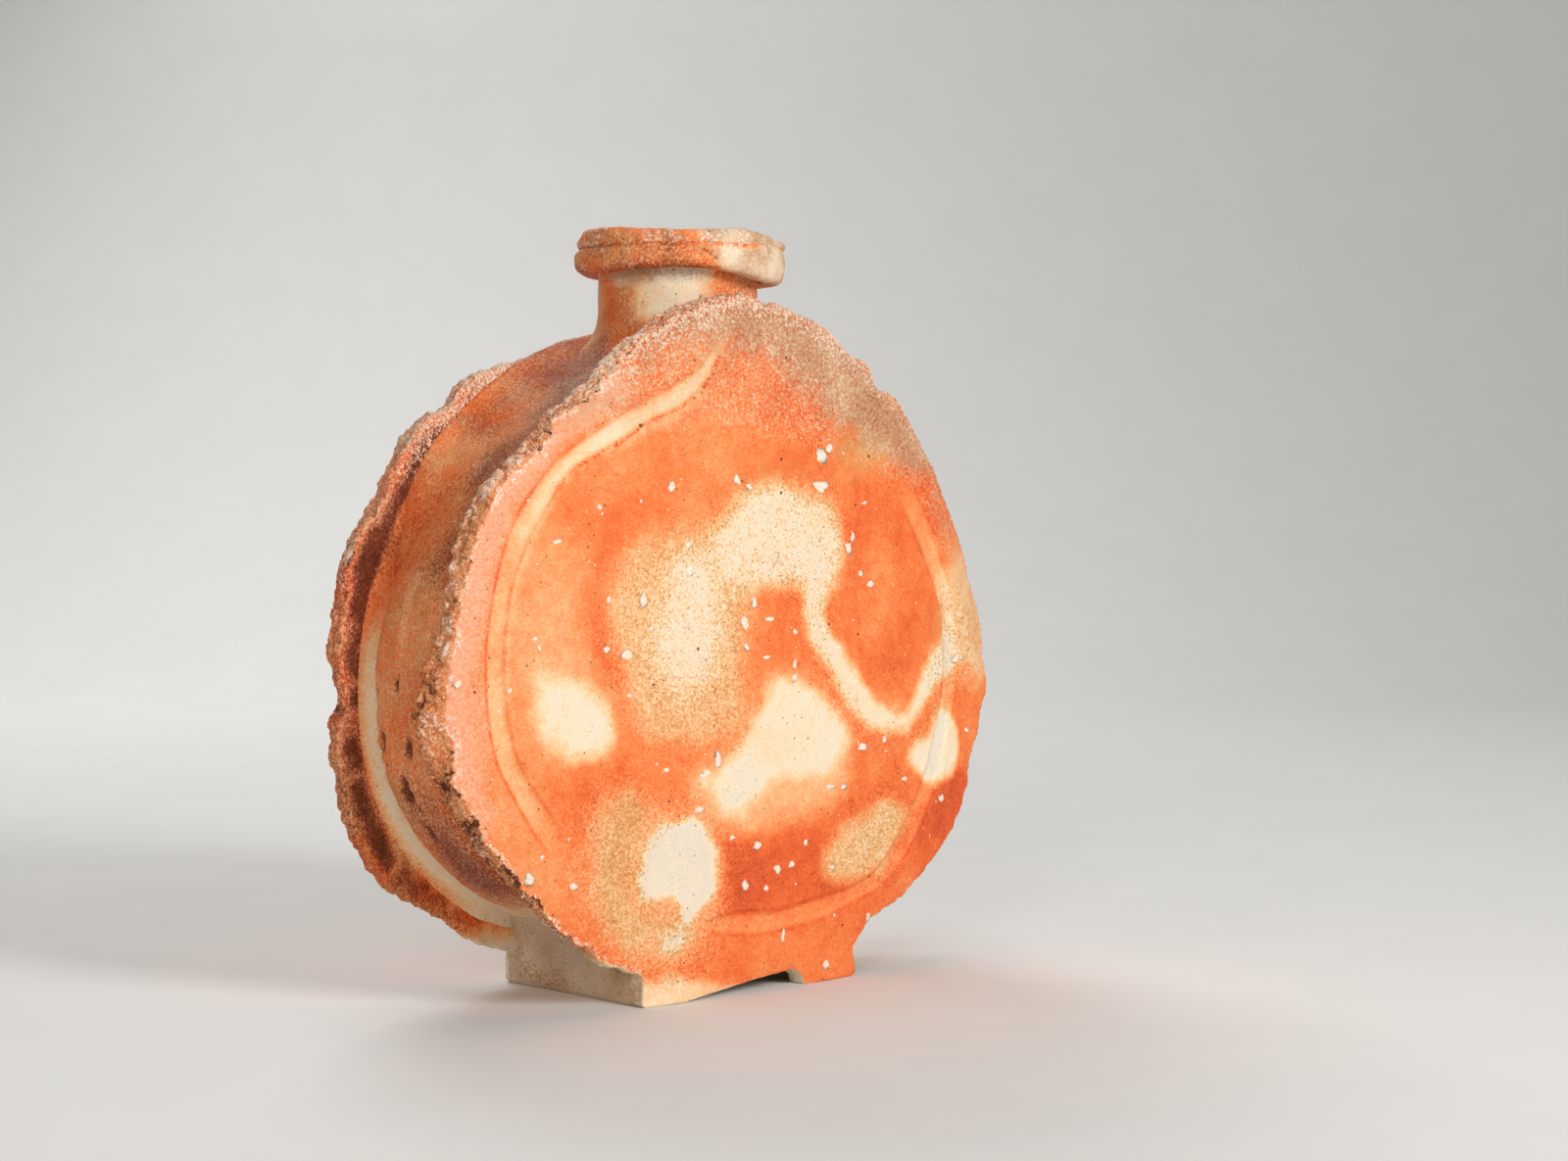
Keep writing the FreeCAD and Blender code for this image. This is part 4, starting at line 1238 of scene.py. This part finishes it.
def wallHeight(x):
    upper = wallLine[wallLine[:, 1] > body["centreHigh"]]
    order = np.argsort(upper[:, 0])
    return np.interp(-np.abs(x), upper[order, 0], upper[order, 1])


def ringAt(turn, radius, z):
    return np.stack([radius * np.cos(turn), radius * np.sin(turn), z + 0 * turn], 1)


def fromAxis(points):
    # directions away from the neck's axis
    return points[:, :2] / np.linalg.norm(points[:, :2], axis=1)[:, None]


def ringPiece(name, points, columns, marks):
    # rings of points from first to last, joined back to the first
    rows = len(points) // columns
    faces = []
    for i in range(rows):
        for j in range(columns):
            a, b = (i + 1) % rows, (j + 1) % columns
            faces.append((i * columns + j, i * columns + b, a * columns + b, a * columns + j))
    return newPiece(name, points, faces, neckFinish, marks)


def makeNeck():
    turn = np.linspace(0, 2 * math.pi, neck["columns"], endpoint=False)
    mouth = body["height"]
    hold = neck["hold"] - float(leanIn(neck["holdHigh"]))
    flare = np.minimum(neck["flareOut"], hold / np.maximum(np.abs(np.sin(turn)), 0.05))
    start = wallHeight(flare * np.cos(turn)) - 0.6
    tube = neck["radius"] + neck["lean"] * np.cos(turn - math.radians(neck["leanTo"]))
    rings = []
    for t in np.linspace(0, 1, neck["rows"]):
        z = start + (mouth - 0.3 - start) * t
        u = np.clip((z - start) / (neck["flareTop"] - start), 0, 1)
        rings.append(ringAt(turn, tube + (flare - tube) * (1 - u) ** neck["flareBend"], z))
    for z in np.linspace(mouth - 0.4, neck["sink"], neck["boreRows"]):
        rings.append(ringAt(turn, neck["bore"] + (0.8 if z > mouth - 1 else 0), z))
    points = np.vstack(rings)
    push = 0.35 * roughLumps(points, 20, 101) + 0.18 * roughLumps(points, 5, 102)
    push += 0.1 * (0.5 - grains(points, 2.0, 103))
    outer = (np.arange(len(points)) < neck["rows"] * len(turn)) & (points[:, 2] < neck["evenFrom"])
    points[:, :2] += fromAxis(points) * (push * np.where(outer, 1, 0.2))[:, None]
    marks = loosePaint(len(points))
    # the bare belly, with flash on both sides
    angle = np.degrees(np.arctan2(points[:, 1], points[:, 0])) % 360
    tone = roughLumps(points, 14, 104)
    turned = (angle - neck["bareAt"] + 180) % 360 - 180 + 5 * roughLumps(points, 9, 106)
    x, y, high = points.T
    below = (1 - eased(high, 262, 266)) * (np.hypot(x, y) > 26)   # outside, under the lip
    bare = below * eased(turned, -42, -20) * (1 - eased(turned, 10, 28))
    bare *= eased(high, 237 - 0.12 * turned, 245 - 0.12 * turned)
    # under the lip the clay is paler, with ash greying it as a painted shadow of the lip
    under = below * eased(high, 254.5, 258.5) * eased(turned, -60, -46) * (1 - eased(turned, 14, 30))
    far = eased(-turned, 56, 78) * below
    flash = 0.38 + 0.1 * tone - 0.06 * eased(turned, 20, 40) + 0.16 * far
    marks["flash"][:] = flash + (0.84 + 0.12 * under - flash) * np.maximum(bare, 0.85 * under)
    flecked = 0.3 * under + 0.2 + 0.3 * roughLumps(points, 8, 105) + 0.25 * (1 - below)
    marks["ash"][:] = np.clip(flecked, 0, 0.8) * (1 - 0.8 * bare * (1 - under))
    brown = 0.2 + 0.2 * eased(247 - high, 0, 14) + 0.2 * tone
    marks["burnt"][:] = np.clip(brown, 0, 0.45) * (1 - np.maximum(bare, under)) * (1 - 0.6 * far)
    marks["haze"][:] = 0.4 * (1 - 0.85 * bare)
    # its skirt is smeared out on the wall and takes the wall's colours
    smeared = below * (1 - eased(high - wallHeight(x), 0.5, 8.0 + 3 * tone))
    for label, left, right in zip(("flash", "ash", "burnt"), sideFireAndShade(points, 61), sideFireAndShade(points, 71)):
        marks[label] += (np.where(x < 0, left, right) - marks[label]) * smeared
    return ringPiece("thrownNeck", points, len(turn), marks)


neckPiece = makeNeck()
seat(neckPiece, "flashed_neck", "neck")


# The lip: a strip wrapped round the neck's top, its ends lapped on the front. What changes round it is given as
# (angle, mm), and the camera looks along 229 degrees.
lip = {
    "inside": 29.7,
    "thick": 9.0,
    "score": 270.3,
    "top": [(0, 274.2), (60, 275.0), (110, 275.3), (139, 275.8), (155, 276.9), (170, 277.4), (190, 276.9),
            (205, 276.2), (229, 275.4), (245, 275.5), (262, 276.2), (270, 276.0), (278, 275.4), (285, 274.7),
            (296, 274.1), (308, 273.5), (330, 273.5), (360, 274.2)],
    "bottom": [(0, 258.4), (60, 259.5), (110, 261.0), (139, 262.0), (160, 261.0), (175, 260.4), (200, 261.0),
               (229, 261.6), (246, 261.4), (256, 260.6), (266, 259.8), (284, 257.9), (319, 257.7), (360, 258.4)],
    "setBack": [(0, 0.3), (110, 0.9), (139, 1.0), (229, 0.7), (246, 0.4), (256, 0.1), (330, 0.0), (360, 0.3)],
    "scoreDeep": [(0, 0.2), (110, 0.3), (139, 0.5), (229, 0.4), (246, 0.8), (275, 0.7), (285, 0.0), (330, 0.0),
                  (360, 0.3)],
    # the crack where the strip's ends lap, as (angle, height)
    "crack": [(241.5, 268.2), (244.5, 266.9), (249.5, 264.4)],
    "lap": 247.0,
    "perDegree": 0.67,   # mm round the lip
    "columns": 330,
}
# the lip's section, as shares of the thickness and of the height: 0 to 1 is the roll, 1 to 2 the band above the score
lipSection = [(0.0, 0.1), (0.25, 0.05), (0.5, 0.02), (0.7, 0.03), (0.86, 0.1), (0.96, 0.24), (1.01, 0.42),
              (1.02, 0.58), (1.0, 0.74), (0.96, 0.88), (0.92, 0.97), (0.92, 1.05), (0.97, 1.2), (1.0, 1.4),
              (0.985, 1.62), (0.93, 1.82), (0.82, 1.95), (0.65, 2.0), (0.45, 1.99), (0.22, 1.95), (0.04, 1.85),
              (0.0, 1.7)]


def makeLip():
    turn = np.linspace(0, 2 * math.pi, lip["columns"], endpoint=False)
    angle = np.degrees(turn)
    labels = ("top", "bottom", "setBack", "scoreDeep")
    top, bottom, setBack, scoreDeep = [np.interp(angle, *zip(*lip[label])) for label in labels]
    fine = smoothRun(lipSection, 0.04)
    rings = []
    for outShare, part in fine:
        z = bottom + (lip["score"] - bottom) * min(part, 1) + (top - lip["score"]) * max(part - 1, 0)
        radius = lip["inside"] + lip["thick"] * outShare - setBack * float(eased(part, 0.95, 1.1)) * outShare
        rings.append(ringAt(turn, radius - scoreDeep * ridge(part - 1.0, 0.07), z))
    points = np.vstack(rings)
    outShare, part = np.repeat(fine[:, 0], len(turn)), np.repeat(fine[:, 1], len(turn))
    around = np.tile(angle, len(rings))
    band = eased(part, 1.0, 1.15)
    # the crack, with angles turned to mm round the lip
    flat = [lip["perDegree"], 1]
    crack = np.array(lip["crack"]) - [lip["crack"][0][0], 0]
    crackGap = gapToLine(np.stack([around - lip["crack"][0][0], points[:, 2]], 1) * flat, crack * flat)[0]
    outside = outShare > 0.7
    smooth = eased(around, 258, 290) * (1 - eased(around, 330, 355))
    push = 0.4 * roughLumps(points, 12, 111) + 0.3 * roughLumps(points, 4, 112) * (1 - 0.6 * smooth)
    push += (0.2 + 0.6 * band) * (0.5 - grains(points, 3.2, 113)) * (1 - 0.8 * smooth)
    push -= 0.9 * ridge(crackGap, 0.55) * outside
    points[:, :2] += fromAxis(points) * (push * outShare)[:, None]
    points[:, 2] += (0.35 * roughLumps(points, 9, 114) + 0.3 * band * roughLumps(points, 4, 117, 2)) * outShare
    marks = loosePaint(len(points))
    tone = roughLumps(points, 12, 115)
    lap = (around - lip["lap"]) + (points[:, 2] - 267) * 1.2 + 5 * roughLumps(points, 7, 118)
    pale = eased(lap, -9, 12) * (1 - eased(around, 335, 360))
    score = ridge(part - 1.0, 0.12)
    redScore = score * eased(around, 246, 250) * (1 - eased(around, 272, 284))
    # painted shade: darker and browner on the underside of the lip's roll
    under = eased(0.35 - part, 0, 0.3)
    flash = 0.4 + 0.1 * tone - 0.12 * under - 0.05 * score
    marks["flash"][:] = flash + (0.88 + 0.08 * tone - flash) * pale * (1 - redScore)
    crusty = 0.35 * band + 0.5 * roughLumps(points, 6, 116)
    marks["ash"][:] = np.clip(0.55 * pale + crusty * (1 - 0.5 * pale), 0, 0.9) * (1 - 0.9 * redScore)
    dry = (0.26 + 0.4 * roughLumps(points, 5, 119)) * np.maximum(0.35 + 0.65 * band, pale)
    marks["dry"][:] = np.clip(dry, 0, 0.6)
    brown = 0.3 + 0.24 * tone + 0.1 * score + 0.2 * under - 0.1 * band
    marks["burnt"][:] = np.clip(brown, 0, 0.5) * (1 - pale) + 0.45 * ridge(crackGap, 0.5) * outside
    marks["haze"][:] = 0.4
    return ringPiece("lipBand", points, len(turn), marks)


lipPiece = makeLip()
seat(lipPiece, "flashed_neck", "lip_band")


# The two foot strips under the wall
footStrip = {
    "outer": 51.5,
    "thick": 8.0,
    "sweepOut": 15.0,
    "sweepFrom": 7.0,
    "rows": 34,
    "lowRows": 8,
    "insideRows": 5,
    "step": 1.5,
}


def makeFoot(name, side, seed):
    outer, inner = footStrip["outer"], footStrip["outer"] - footStrip["thick"]
    bend, low, inside = footStrip["sweepFrom"], footStrip["lowRows"], footStrip["insideRows"]
    reach = float(innerDepth(outer, 0.0)) + 0.1
    end = float(outerDepth(outer, 0.0)) - 0.6
    stations = int(2 * reach / footStrip["step"]) + 1
    # the wall's underside from the middle outwards
    lower = wallLine[wallLine[:, 1] < body["centreHigh"]]
    order = np.argsort(-lower[:, 0])
    under = (-lower[order, 0], lower[order, 1])
    sweepTop = float(np.interp(outer + footStrip["sweepOut"], *under)) + 0.4
    innerTop = float(np.interp(inner, *under)) - 0.4
    turn = np.linspace(0, math.pi / 2, footStrip["rows"] - low)
    out = np.concatenate([np.zeros(low), footStrip["sweepOut"] * (1 - np.cos(turn))])
    z = np.concatenate([np.linspace(0, bend, low, endpoint=False), bend + (sweepTop - bend) * np.sin(turn)])
    z = np.concatenate([z, np.linspace(innerTop, 0, inside)])
    grid = []
    for y in np.linspace(-reach, end, stations):
        # smeared a little way over the back slab's end
        smear = 0.5 - 1.3 * float(eased(y, end - 2.5, end)) if y > 0 else 0.0
        x = outer + out + smear * float(eased(y, reach - 9, reach - 3)) - 0.5 * (1 - eased(z[:len(out)], 0.0, 1.2))
        grid.append(np.stack([np.concatenate([x, np.full(inside, inner)]), np.full(len(z), y), z], 1))
    points = np.vstack(grid)
    push = 0.3 * roughLumps(points, 16, seed) + 0.15 * roughLumps(points, 4, seed + 1)
    face = np.tile(np.arange(len(z)) < footStrip["rows"], stations)
    points[:, 0] += push * face * eased(points[:, 2], 0, 3)
    points[:, 0] *= side
    marks = loosePaint(len(points))
    tone = roughLumps(points, 18, seed + 2)
    marks["flash"][:] = 0.9 + 0.1 * tone
    marks["haze"][:] = 0.3
    marks["ash"][:] = np.clip(0.42 + 0.15 * tone, 0, 0.7)
    # painted shade: the burnt wash darkens the foot strips all over
    marks["burnt"][:] = np.clip(0.36 + 0.07 * tone, 0, 0.6)
    marks["gold"][:] = np.clip(0.4 * roughLumps(points, 8, seed + 3), 0, 0.5)
    return newPiece(name, points, stripFaces(stations, len(z)), bareFinish, marks)


for sideName, side, seed in (("left", -1, 121), ("right", 1, 131)):
    seat(makeFoot(sideName + "Foot", side, seed), "bare_clay", sideName + "_foot")


# The coil inside stays as its solid is, in bare clay
coilLook = {
    "stops": [(0.3, (206, 170, 134)), (0.7, (238, 216, 186))],
    "size": 1.2,
    "detail": 3.0,
    "rough": 0.7,
    "uneven": 0.2,
    "bump": (firedLook["reliefDeep"], 0.5),
}
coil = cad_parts["inner_joint_coil"]
coil.data.materials.clear()
coil.data.materials.append(plainFinish("insideCoil", coilLook))


# Trees that set small pieces on the slabs

def newTree(name, inputs):
    # a tree with named inputs: the tree, its inputs' identifiers, a bench and what comes in
    tree = bpy.data.node_groups.new(name, "GeometryNodeTree")
    face = tree.interface
    face.new_socket("Geometry", in_out="INPUT", socket_type="NodeSocketGeometry")
    names = {label: face.new_socket(label, in_out="INPUT", socket_type="NodeSocket" + kind).identifier
             for label, kind in inputs.items()}
    face.new_socket("Geometry", in_out="OUTPUT", socket_type="NodeSocketGeometry")
    bench = NodeBench(tree)
    return tree, names, bench, bench.add("NodeGroupInput").outputs


def endTree(bench, geometry, finish):
    last = bench.add("GeometryNodeSetMaterial", {"Geometry": geometry, "Material": finish})
    bench.add("NodeGroupOutput", {"Geometry": last.outputs["Geometry"]})


def grow(name, mesh, tree, names, values):
    # runs a tree on a mesh and keeps what it makes as a plain piece
    carrier = bpy.data.objects.new(name + "Carrier", mesh)
    bpy.context.scene.collection.objects.link(carrier)
    maker = carrier.modifiers.new(name, "NODES")
    maker.node_group = tree
    for label, value in values.items():
        maker[names[label]] = value
    made = bpy.data.meshes.new_from_object(carrier.evaluated_get(bpy.context.evaluated_depsgraph_get()))
    carrier.modifiers.remove(maker)
    bpy.data.objects.remove(carrier)
    made.name = name
    piece = bpy.data.objects.new(name, made)
    bpy.context.scene.collection.objects.link(piece)
    return piece


# Crumbs on the torn edges
crumbs = {
    "perSquareMetre": 130000.0,
    "smallest": 0.0002,
    "largest": 0.0006,
    "chipped": 0.5,
    "tone": (0.4, 0.85),
    "seed": 5,
}
crumbLook = {
    "stops": clay["torn"],
    "mark": "crumbTone",
    "size": 0.5,
    "detail": 2.0,
    "rough": 0.68,
    "uneven": 0.25,
    "bump": (0.0003, 0.4),
    "shine": 0.25,
}


def crumbTree():
    # scatters broken grains over the faces that the mark "crumbly" picks
    tree, names, bench, start = newTree("edgeCrumbs", {
        "Per square metre": "Float", "Smallest": "Float", "Largest": "Float", "Seed": "Int", "Finish": "Material"})
    seed, chip = start["Seed"], crumbs["chipped"]
    density = bench.calc("MULTIPLY", start["Per square metre"], bench.stored("crumbly", "FLOAT"))
    spread = bench.add("GeometryNodeDistributePointsOnFaces", {
        "Mesh": start["Geometry"], "Density": density, "Seed": seed})
    ball = bench.add("GeometryNodeMeshIcoSphere", {"Radius": 1.0, "Subdivisions": 1})
    grain = bench.add("GeometryNodeSetPosition", {
        "Geometry": ball.outputs["Mesh"],
        "Offset": bench.chance("FLOAT_VECTOR", {0: (-chip, -chip, -chip), 1: (chip, chip, chip)})})
    placed = bench.add("GeometryNodeInstanceOnPoints", {
        "Points": spread.outputs["Points"],
        "Instance": grain.outputs["Geometry"],
        "Rotation": bench.chance("FLOAT_VECTOR", {1: (6.2, 6.2, 6.2)}),
        "Scale": bench.chance("FLOAT", {2: start["Smallest"], 3: start["Largest"], "Seed": seed})})
    tone = bench.chance("FLOAT", {2: crumbs["tone"][0], 3: crumbs["tone"][1], "Seed": 9})
    toned = bench.add("GeometryNodeStoreNamedAttribute", {
        "Geometry": placed.outputs["Instances"], "Name": crumbLook["mark"], "Value": tone},
        data_type="FLOAT", domain="INSTANCE")
    real = bench.add("GeometryNodeRealizeInstances", {"Geometry": toned.outputs["Geometry"]})
    endTree(bench, real.outputs["Geometry"], start["Finish"])
    return tree, names


def crumblyMesh(host, seed):
    # a copy of the host's mesh, marked where crumbs may sit on its torn edge
    mesh = host.data.copy()
    points, torn = np.zeros(len(mesh.vertices) * 3), np.zeros(len(mesh.vertices))
    mesh.vertices.foreach_get("co", points)
    mesh.attributes["torn"].data.foreach_get("value", torn)
    points = points.reshape(-1, 3) / mm
    x, y, z = points.T
    outside = np.abs(y) > innerDepth(x, z) + 0.4
    crumbly = np.clip(torn, 0, 1) * outside * eased(z, 8, 24) * eased(lumps(points, 10, seed), -0.5, 0.5)
    layer = mesh.attributes.new("crumbly", "FLOAT", "POINT")
    layer.data.foreach_set("value", crumbly.astype(np.float32))
    return mesh


crumbNodes, crumbNames = crumbTree()
crumbValues = {
    "Per square metre": crumbs["perSquareMetre"],
    "Smallest": crumbs["smallest"],
    "Largest": crumbs["largest"],
    "Seed": crumbs["seed"],
    "Finish": plainFinish("edgeCrumbs", crumbLook),
}
for name, host, seed in (("frontCrumbs", frontPiece, 141), ("backCrumbs", backPiece, 151)):
    seat(grow(name, crumblyMesh(host, seed), crumbNodes, crumbNames, crumbValues), "flashed_slab")


# White flecks of burst feldspar: those on the front are where the photo shows them, in pixels with their sizes
flecks = {
    "front": [
        (685, 497, 9, 12), (838, 465, 12, 16), (846, 458, 8, 9), (838, 497, 14, 12), (870, 548, 5, 10),
        (866, 560, 6, 10), (770, 615, 7, 12), (760, 635, 9, 14), (785, 632, 10, 4), (812, 645, 5, 6),
        (811, 678, 4, 9), (811, 692, 5, 10), (762, 661, 6, 8), (782, 671, 7, 5), (732, 775, 7, 20), (720, 790, 12, 7),
        (793, 887, 7, 9), (808, 882, 6, 8), (773, 863, 9, 10), (747, 855, 6, 6), (822, 860, 4, 8), (849, 885, 6, 5),
        (760, 905, 8, 8), (781, 907, 5, 6), (713, 826, 9, 6), (880, 762, 16, 8), (902, 755, 5, 6), (922, 795, 5, 5),
        (960, 815, 6, 8), (986, 745, 5, 4), (977, 672, 9, 9), (885, 936, 5, 8), (798, 955, 4, 16), (843, 985, 6, 12),
        (620, 663, 8, 7), (640, 668, 14, 10), (643, 710, 5, 5), (467, 698, 9, 8), (520, 705, 8, 6), (657, 613, 8, 14),
        (622, 613, 5, 8), (568, 553, 8, 5), (612, 518, 5, 5), (455, 604, 7, 8), (553, 875, 5, 6), (540, 898, 10, 14),
        (585, 905, 8, 8), (752, 490, 6, 10), (765, 497, 8, 6), (882, 513, 6, 4), (879, 585, 5, 6), (889, 596, 7, 8),
        (702, 556, 5, 9), (704, 582, 7, 14), (665, 642, 5, 6), (848, 803, 8, 5), (862, 803, 6, 6), (546, 652, 6, 5),
        (550, 662, 4, 7), (680, 786, 5, 5),
    ],
    "thick": 0.06,
    "notch": 1150.0,       # how finely the outline is broken, and how far it goes in and out
    "broken": 3.4,
    "stray": 150,          # small ones scattered over each slab
    "strayLeast": 0.35,
    "strayMost": 1.1,
    "strayWide": (-125, 125),
    "strayHigh": (18, 245),
    "castFrom": 80.0,      # depth from which each is cast on the face, and the depth past which it has missed
    "castTo": 22.0,
    "seed": 23,
}
fleckLook = {
    "stops": [(0.3, (236, 196, 160)), (0.5, (246, 226, 202)), (0.7, (250, 242, 228))],
    "size": 0.6,
    "detail": 3.0,
    "rough": 0.6,
    "uneven": 0.3,
    "bump": (0.0003, 0.5),
}


def fleckTree():
    # sets one flat broken chip on each point, turned to the surface there
    tree, names, bench, start = newTree("whiteFlecks", {"Rough": "Float", "Seed": "Int", "Finish": "Material"})
    faceOut, size, middle = [bench.stored(label, "FLOAT_VECTOR") for label in ("faceOut", "fleckSize", "fleckMiddle")]
    ball = bench.add("GeometryNodeMeshIcoSphere", {"Radius": 1.0, "Subdivisions": 2})
    upright = bench.add("FunctionNodeAlignRotationToVector", {"Vector": faceOut}, axis="Z")
    placed = bench.add("GeometryNodeInstanceOnPoints", {
        "Points": start["Geometry"], "Instance": ball.outputs["Mesh"],
        "Rotation": upright.outputs["Rotation"], "Scale": size})
    real = bench.add("GeometryNodeRealizeInstances", {"Geometry": placed.outputs["Instances"]})
    # each chip is broken differently: its outline goes in and out from its middle
    where = bench.add("GeometryNodeInputPosition").outputs["Position"]
    noise = bench.add("ShaderNodeTexNoise", {
        "Vector": where, "W": start["Seed"], "Scale": flecks["notch"], "Detail": 2.0}, noise_dimensions="4D")
    amount = bench.calc("MULTIPLY", bench.calc("SUBTRACT", noise.outputs["Fac"], 0.5), start["Rough"])
    reach = bench.add("ShaderNodeVectorMath", {0: where, 1: middle}, operation="SUBTRACT")
    shift = bench.add("ShaderNodeVectorMath", {0: reach.outputs["Vector"], "Scale": amount}, operation="SCALE")
    chip = bench.add("GeometryNodeSetPosition", {
        "Geometry": real.outputs["Geometry"], "Offset": shift.outputs["Vector"]})
    smooth = bench.add("GeometryNodeSetShadeSmooth", {"Geometry": chip.outputs["Geometry"]})
    endTree(bench, smooth.outputs["Geometry"], start["Finish"])
    return tree, names


def photoFlecks():
    # from pixels to places and sizes on the front face, mm
    placed = []
    for px, py, wide, tall in flecks["front"]:
        x, z = photoToFace(px, py)
        right, top = photoToFace(px + wide, py)[0], photoToFace(px, py - tall)[1]
        placed.append((x, z, right - x, top - z))
    return placed


def fleckMesh(name, host, side, wanted):
    # points on the slab's face, each with its outward direction and the chip's half sizes
    chance = np.random.default_rng(flecks["seed"] + side)
    target = BVHTree.FromObject(host, bpy.context.evaluated_depsgraph_get())
    least, most = flecks["strayLeast"], flecks["strayMost"]
    for i in range(flecks["stray"]):
        x, z = chance.uniform(*flecks["strayWide"]), chance.uniform(*flecks["strayHigh"])
        size = least + (most - least) * chance.random() ** 2.5
        wanted.append((x, z, size, size * chance.uniform(0.6, 1.4)))
    rows = {"fleckMiddle": [], "faceOut": [], "fleckSize": []}
    for x, z, wide, tall in wanted:
        start = Vector((x * mm, side * flecks["castFrom"] * mm, z * mm))
        hit, normal = target.ray_cast(start, Vector((0, -side, 0)))[:2]
        if hit is not None and abs(hit.y) >= flecks["castTo"] * mm:
            rows["fleckMiddle"].append(hit)
            rows["faceOut"].append(normal)
            rows["fleckSize"].append((wide / 2 * mm, tall / 2 * mm, flecks["thick"] * mm))
    mesh = bpy.data.meshes.new(name + "Spots")
    mesh.from_pydata(rows["fleckMiddle"], [], [])
    for label, values in rows.items():
        layer = mesh.attributes.new(label, "FLOAT_VECTOR", "POINT")
        layer.data.foreach_set("vector", np.array(values, np.float32).ravel())
    return mesh


fleckNodes, fleckNames = fleckTree()
fleckValues = {
    "Rough": flecks["broken"],
    "Seed": flecks["seed"],
    "Finish": plainFinish("whiteFlecks", fleckLook),
}
for name, host, side, placed in (("frontFlecks", frontPiece, -1, photoFlecks()), ("backFlecks", backPiece, 1, [])):
    seat(grow(name, fleckMesh(name, host, side, placed), fleckNodes, fleckNames, fleckValues), "flashed_slab")


# Pale floor and soft studio light
stage = {
    "floor": {"stops": [(0.0, (229, 227, 223)), (1.0, (235, 233, 229))], "size": 60.0, "detail": 3.0, "rough": 0.8},
    "halfWide": 4000,    # the floor's sizes, mm
    "near": -3000,
    "bendFrom": 1500,
    "bend": 700,
    "backHigh": 3500,
    "world": 0.18,
    "sky": (0.95, 0.97, 1.0, 1.0),
    "aim": (0, 0, 0.13),
    "lamps": {
        "key": {"at": (0.12, -1.75, 0.85), "size": 0.6, "watts": 22.8},
        "fill": {"at": (-1.45, -1.0, 0.75), "size": 0.55, "watts": 6.8},
        "back": {"at": (0.7, 1.7, 1.5), "size": 1.2, "watts": 20.0},
        "top": {"at": (0.0, 0.2, 1.6), "size": 0.9, "watts": 3.0},
    },
}


def addLamp(name, lamp):
    data = bpy.data.lights.new(name, "AREA")
    data.shape = "DISK"
    data.size = lamp["size"]
    data.energy = lamp["watts"]
    thing = bpy.data.objects.new(name, data)
    thing.location = lamp["at"]
    aim = Vector(stage["aim"]) - thing.location
    thing.rotation_euler = aim.to_track_quat("-Z", "Y").to_euler()
    bpy.context.scene.collection.objects.link(thing)


def makeFloor():
    # a floor that turns up into a backdrop behind the flask
    turn = math.radians(shot["heading"])
    away = np.array([math.sin(turn), math.cos(turn)])
    across = np.array([math.cos(turn), -math.sin(turn)])
    start, bend = stage["bendFrom"], stage["bend"]
    profile = [(stage["near"], 0)]
    profile += [(start + bend * math.sin(a), bend * (1 - math.cos(a))) for a in np.linspace(0, math.pi / 2, 16)]
    profile.append((start + bend, stage["backHigh"]))
    points = [(*(away * far + across * wide), high) for far, high in profile
              for wide in (-stage["halfWide"], stage["halfWide"])]
    faces = [(2 * i, 2 * i + 1, 2 * i + 3, 2 * i + 2) for i in range(len(profile) - 1)]
    return newPiece("paleFloor", points, faces, plainFinish("paleFloor", stage["floor"]))


makeFloor()
for lampName, lamp in stage["lamps"].items():
    addLamp(lampName + "Lamp", lamp)
world = bpy.data.worlds.new("studio")
bpy.context.scene.world = world
world.use_nodes = True
world.node_tree.nodes["Background"].inputs["Color"].default_value = stage["sky"]
world.node_tree.nodes["Background"].inputs["Strength"].default_value = stage["world"]
bpy.context.scene.view_settings.view_transform = "Standard"
print("stage lit")
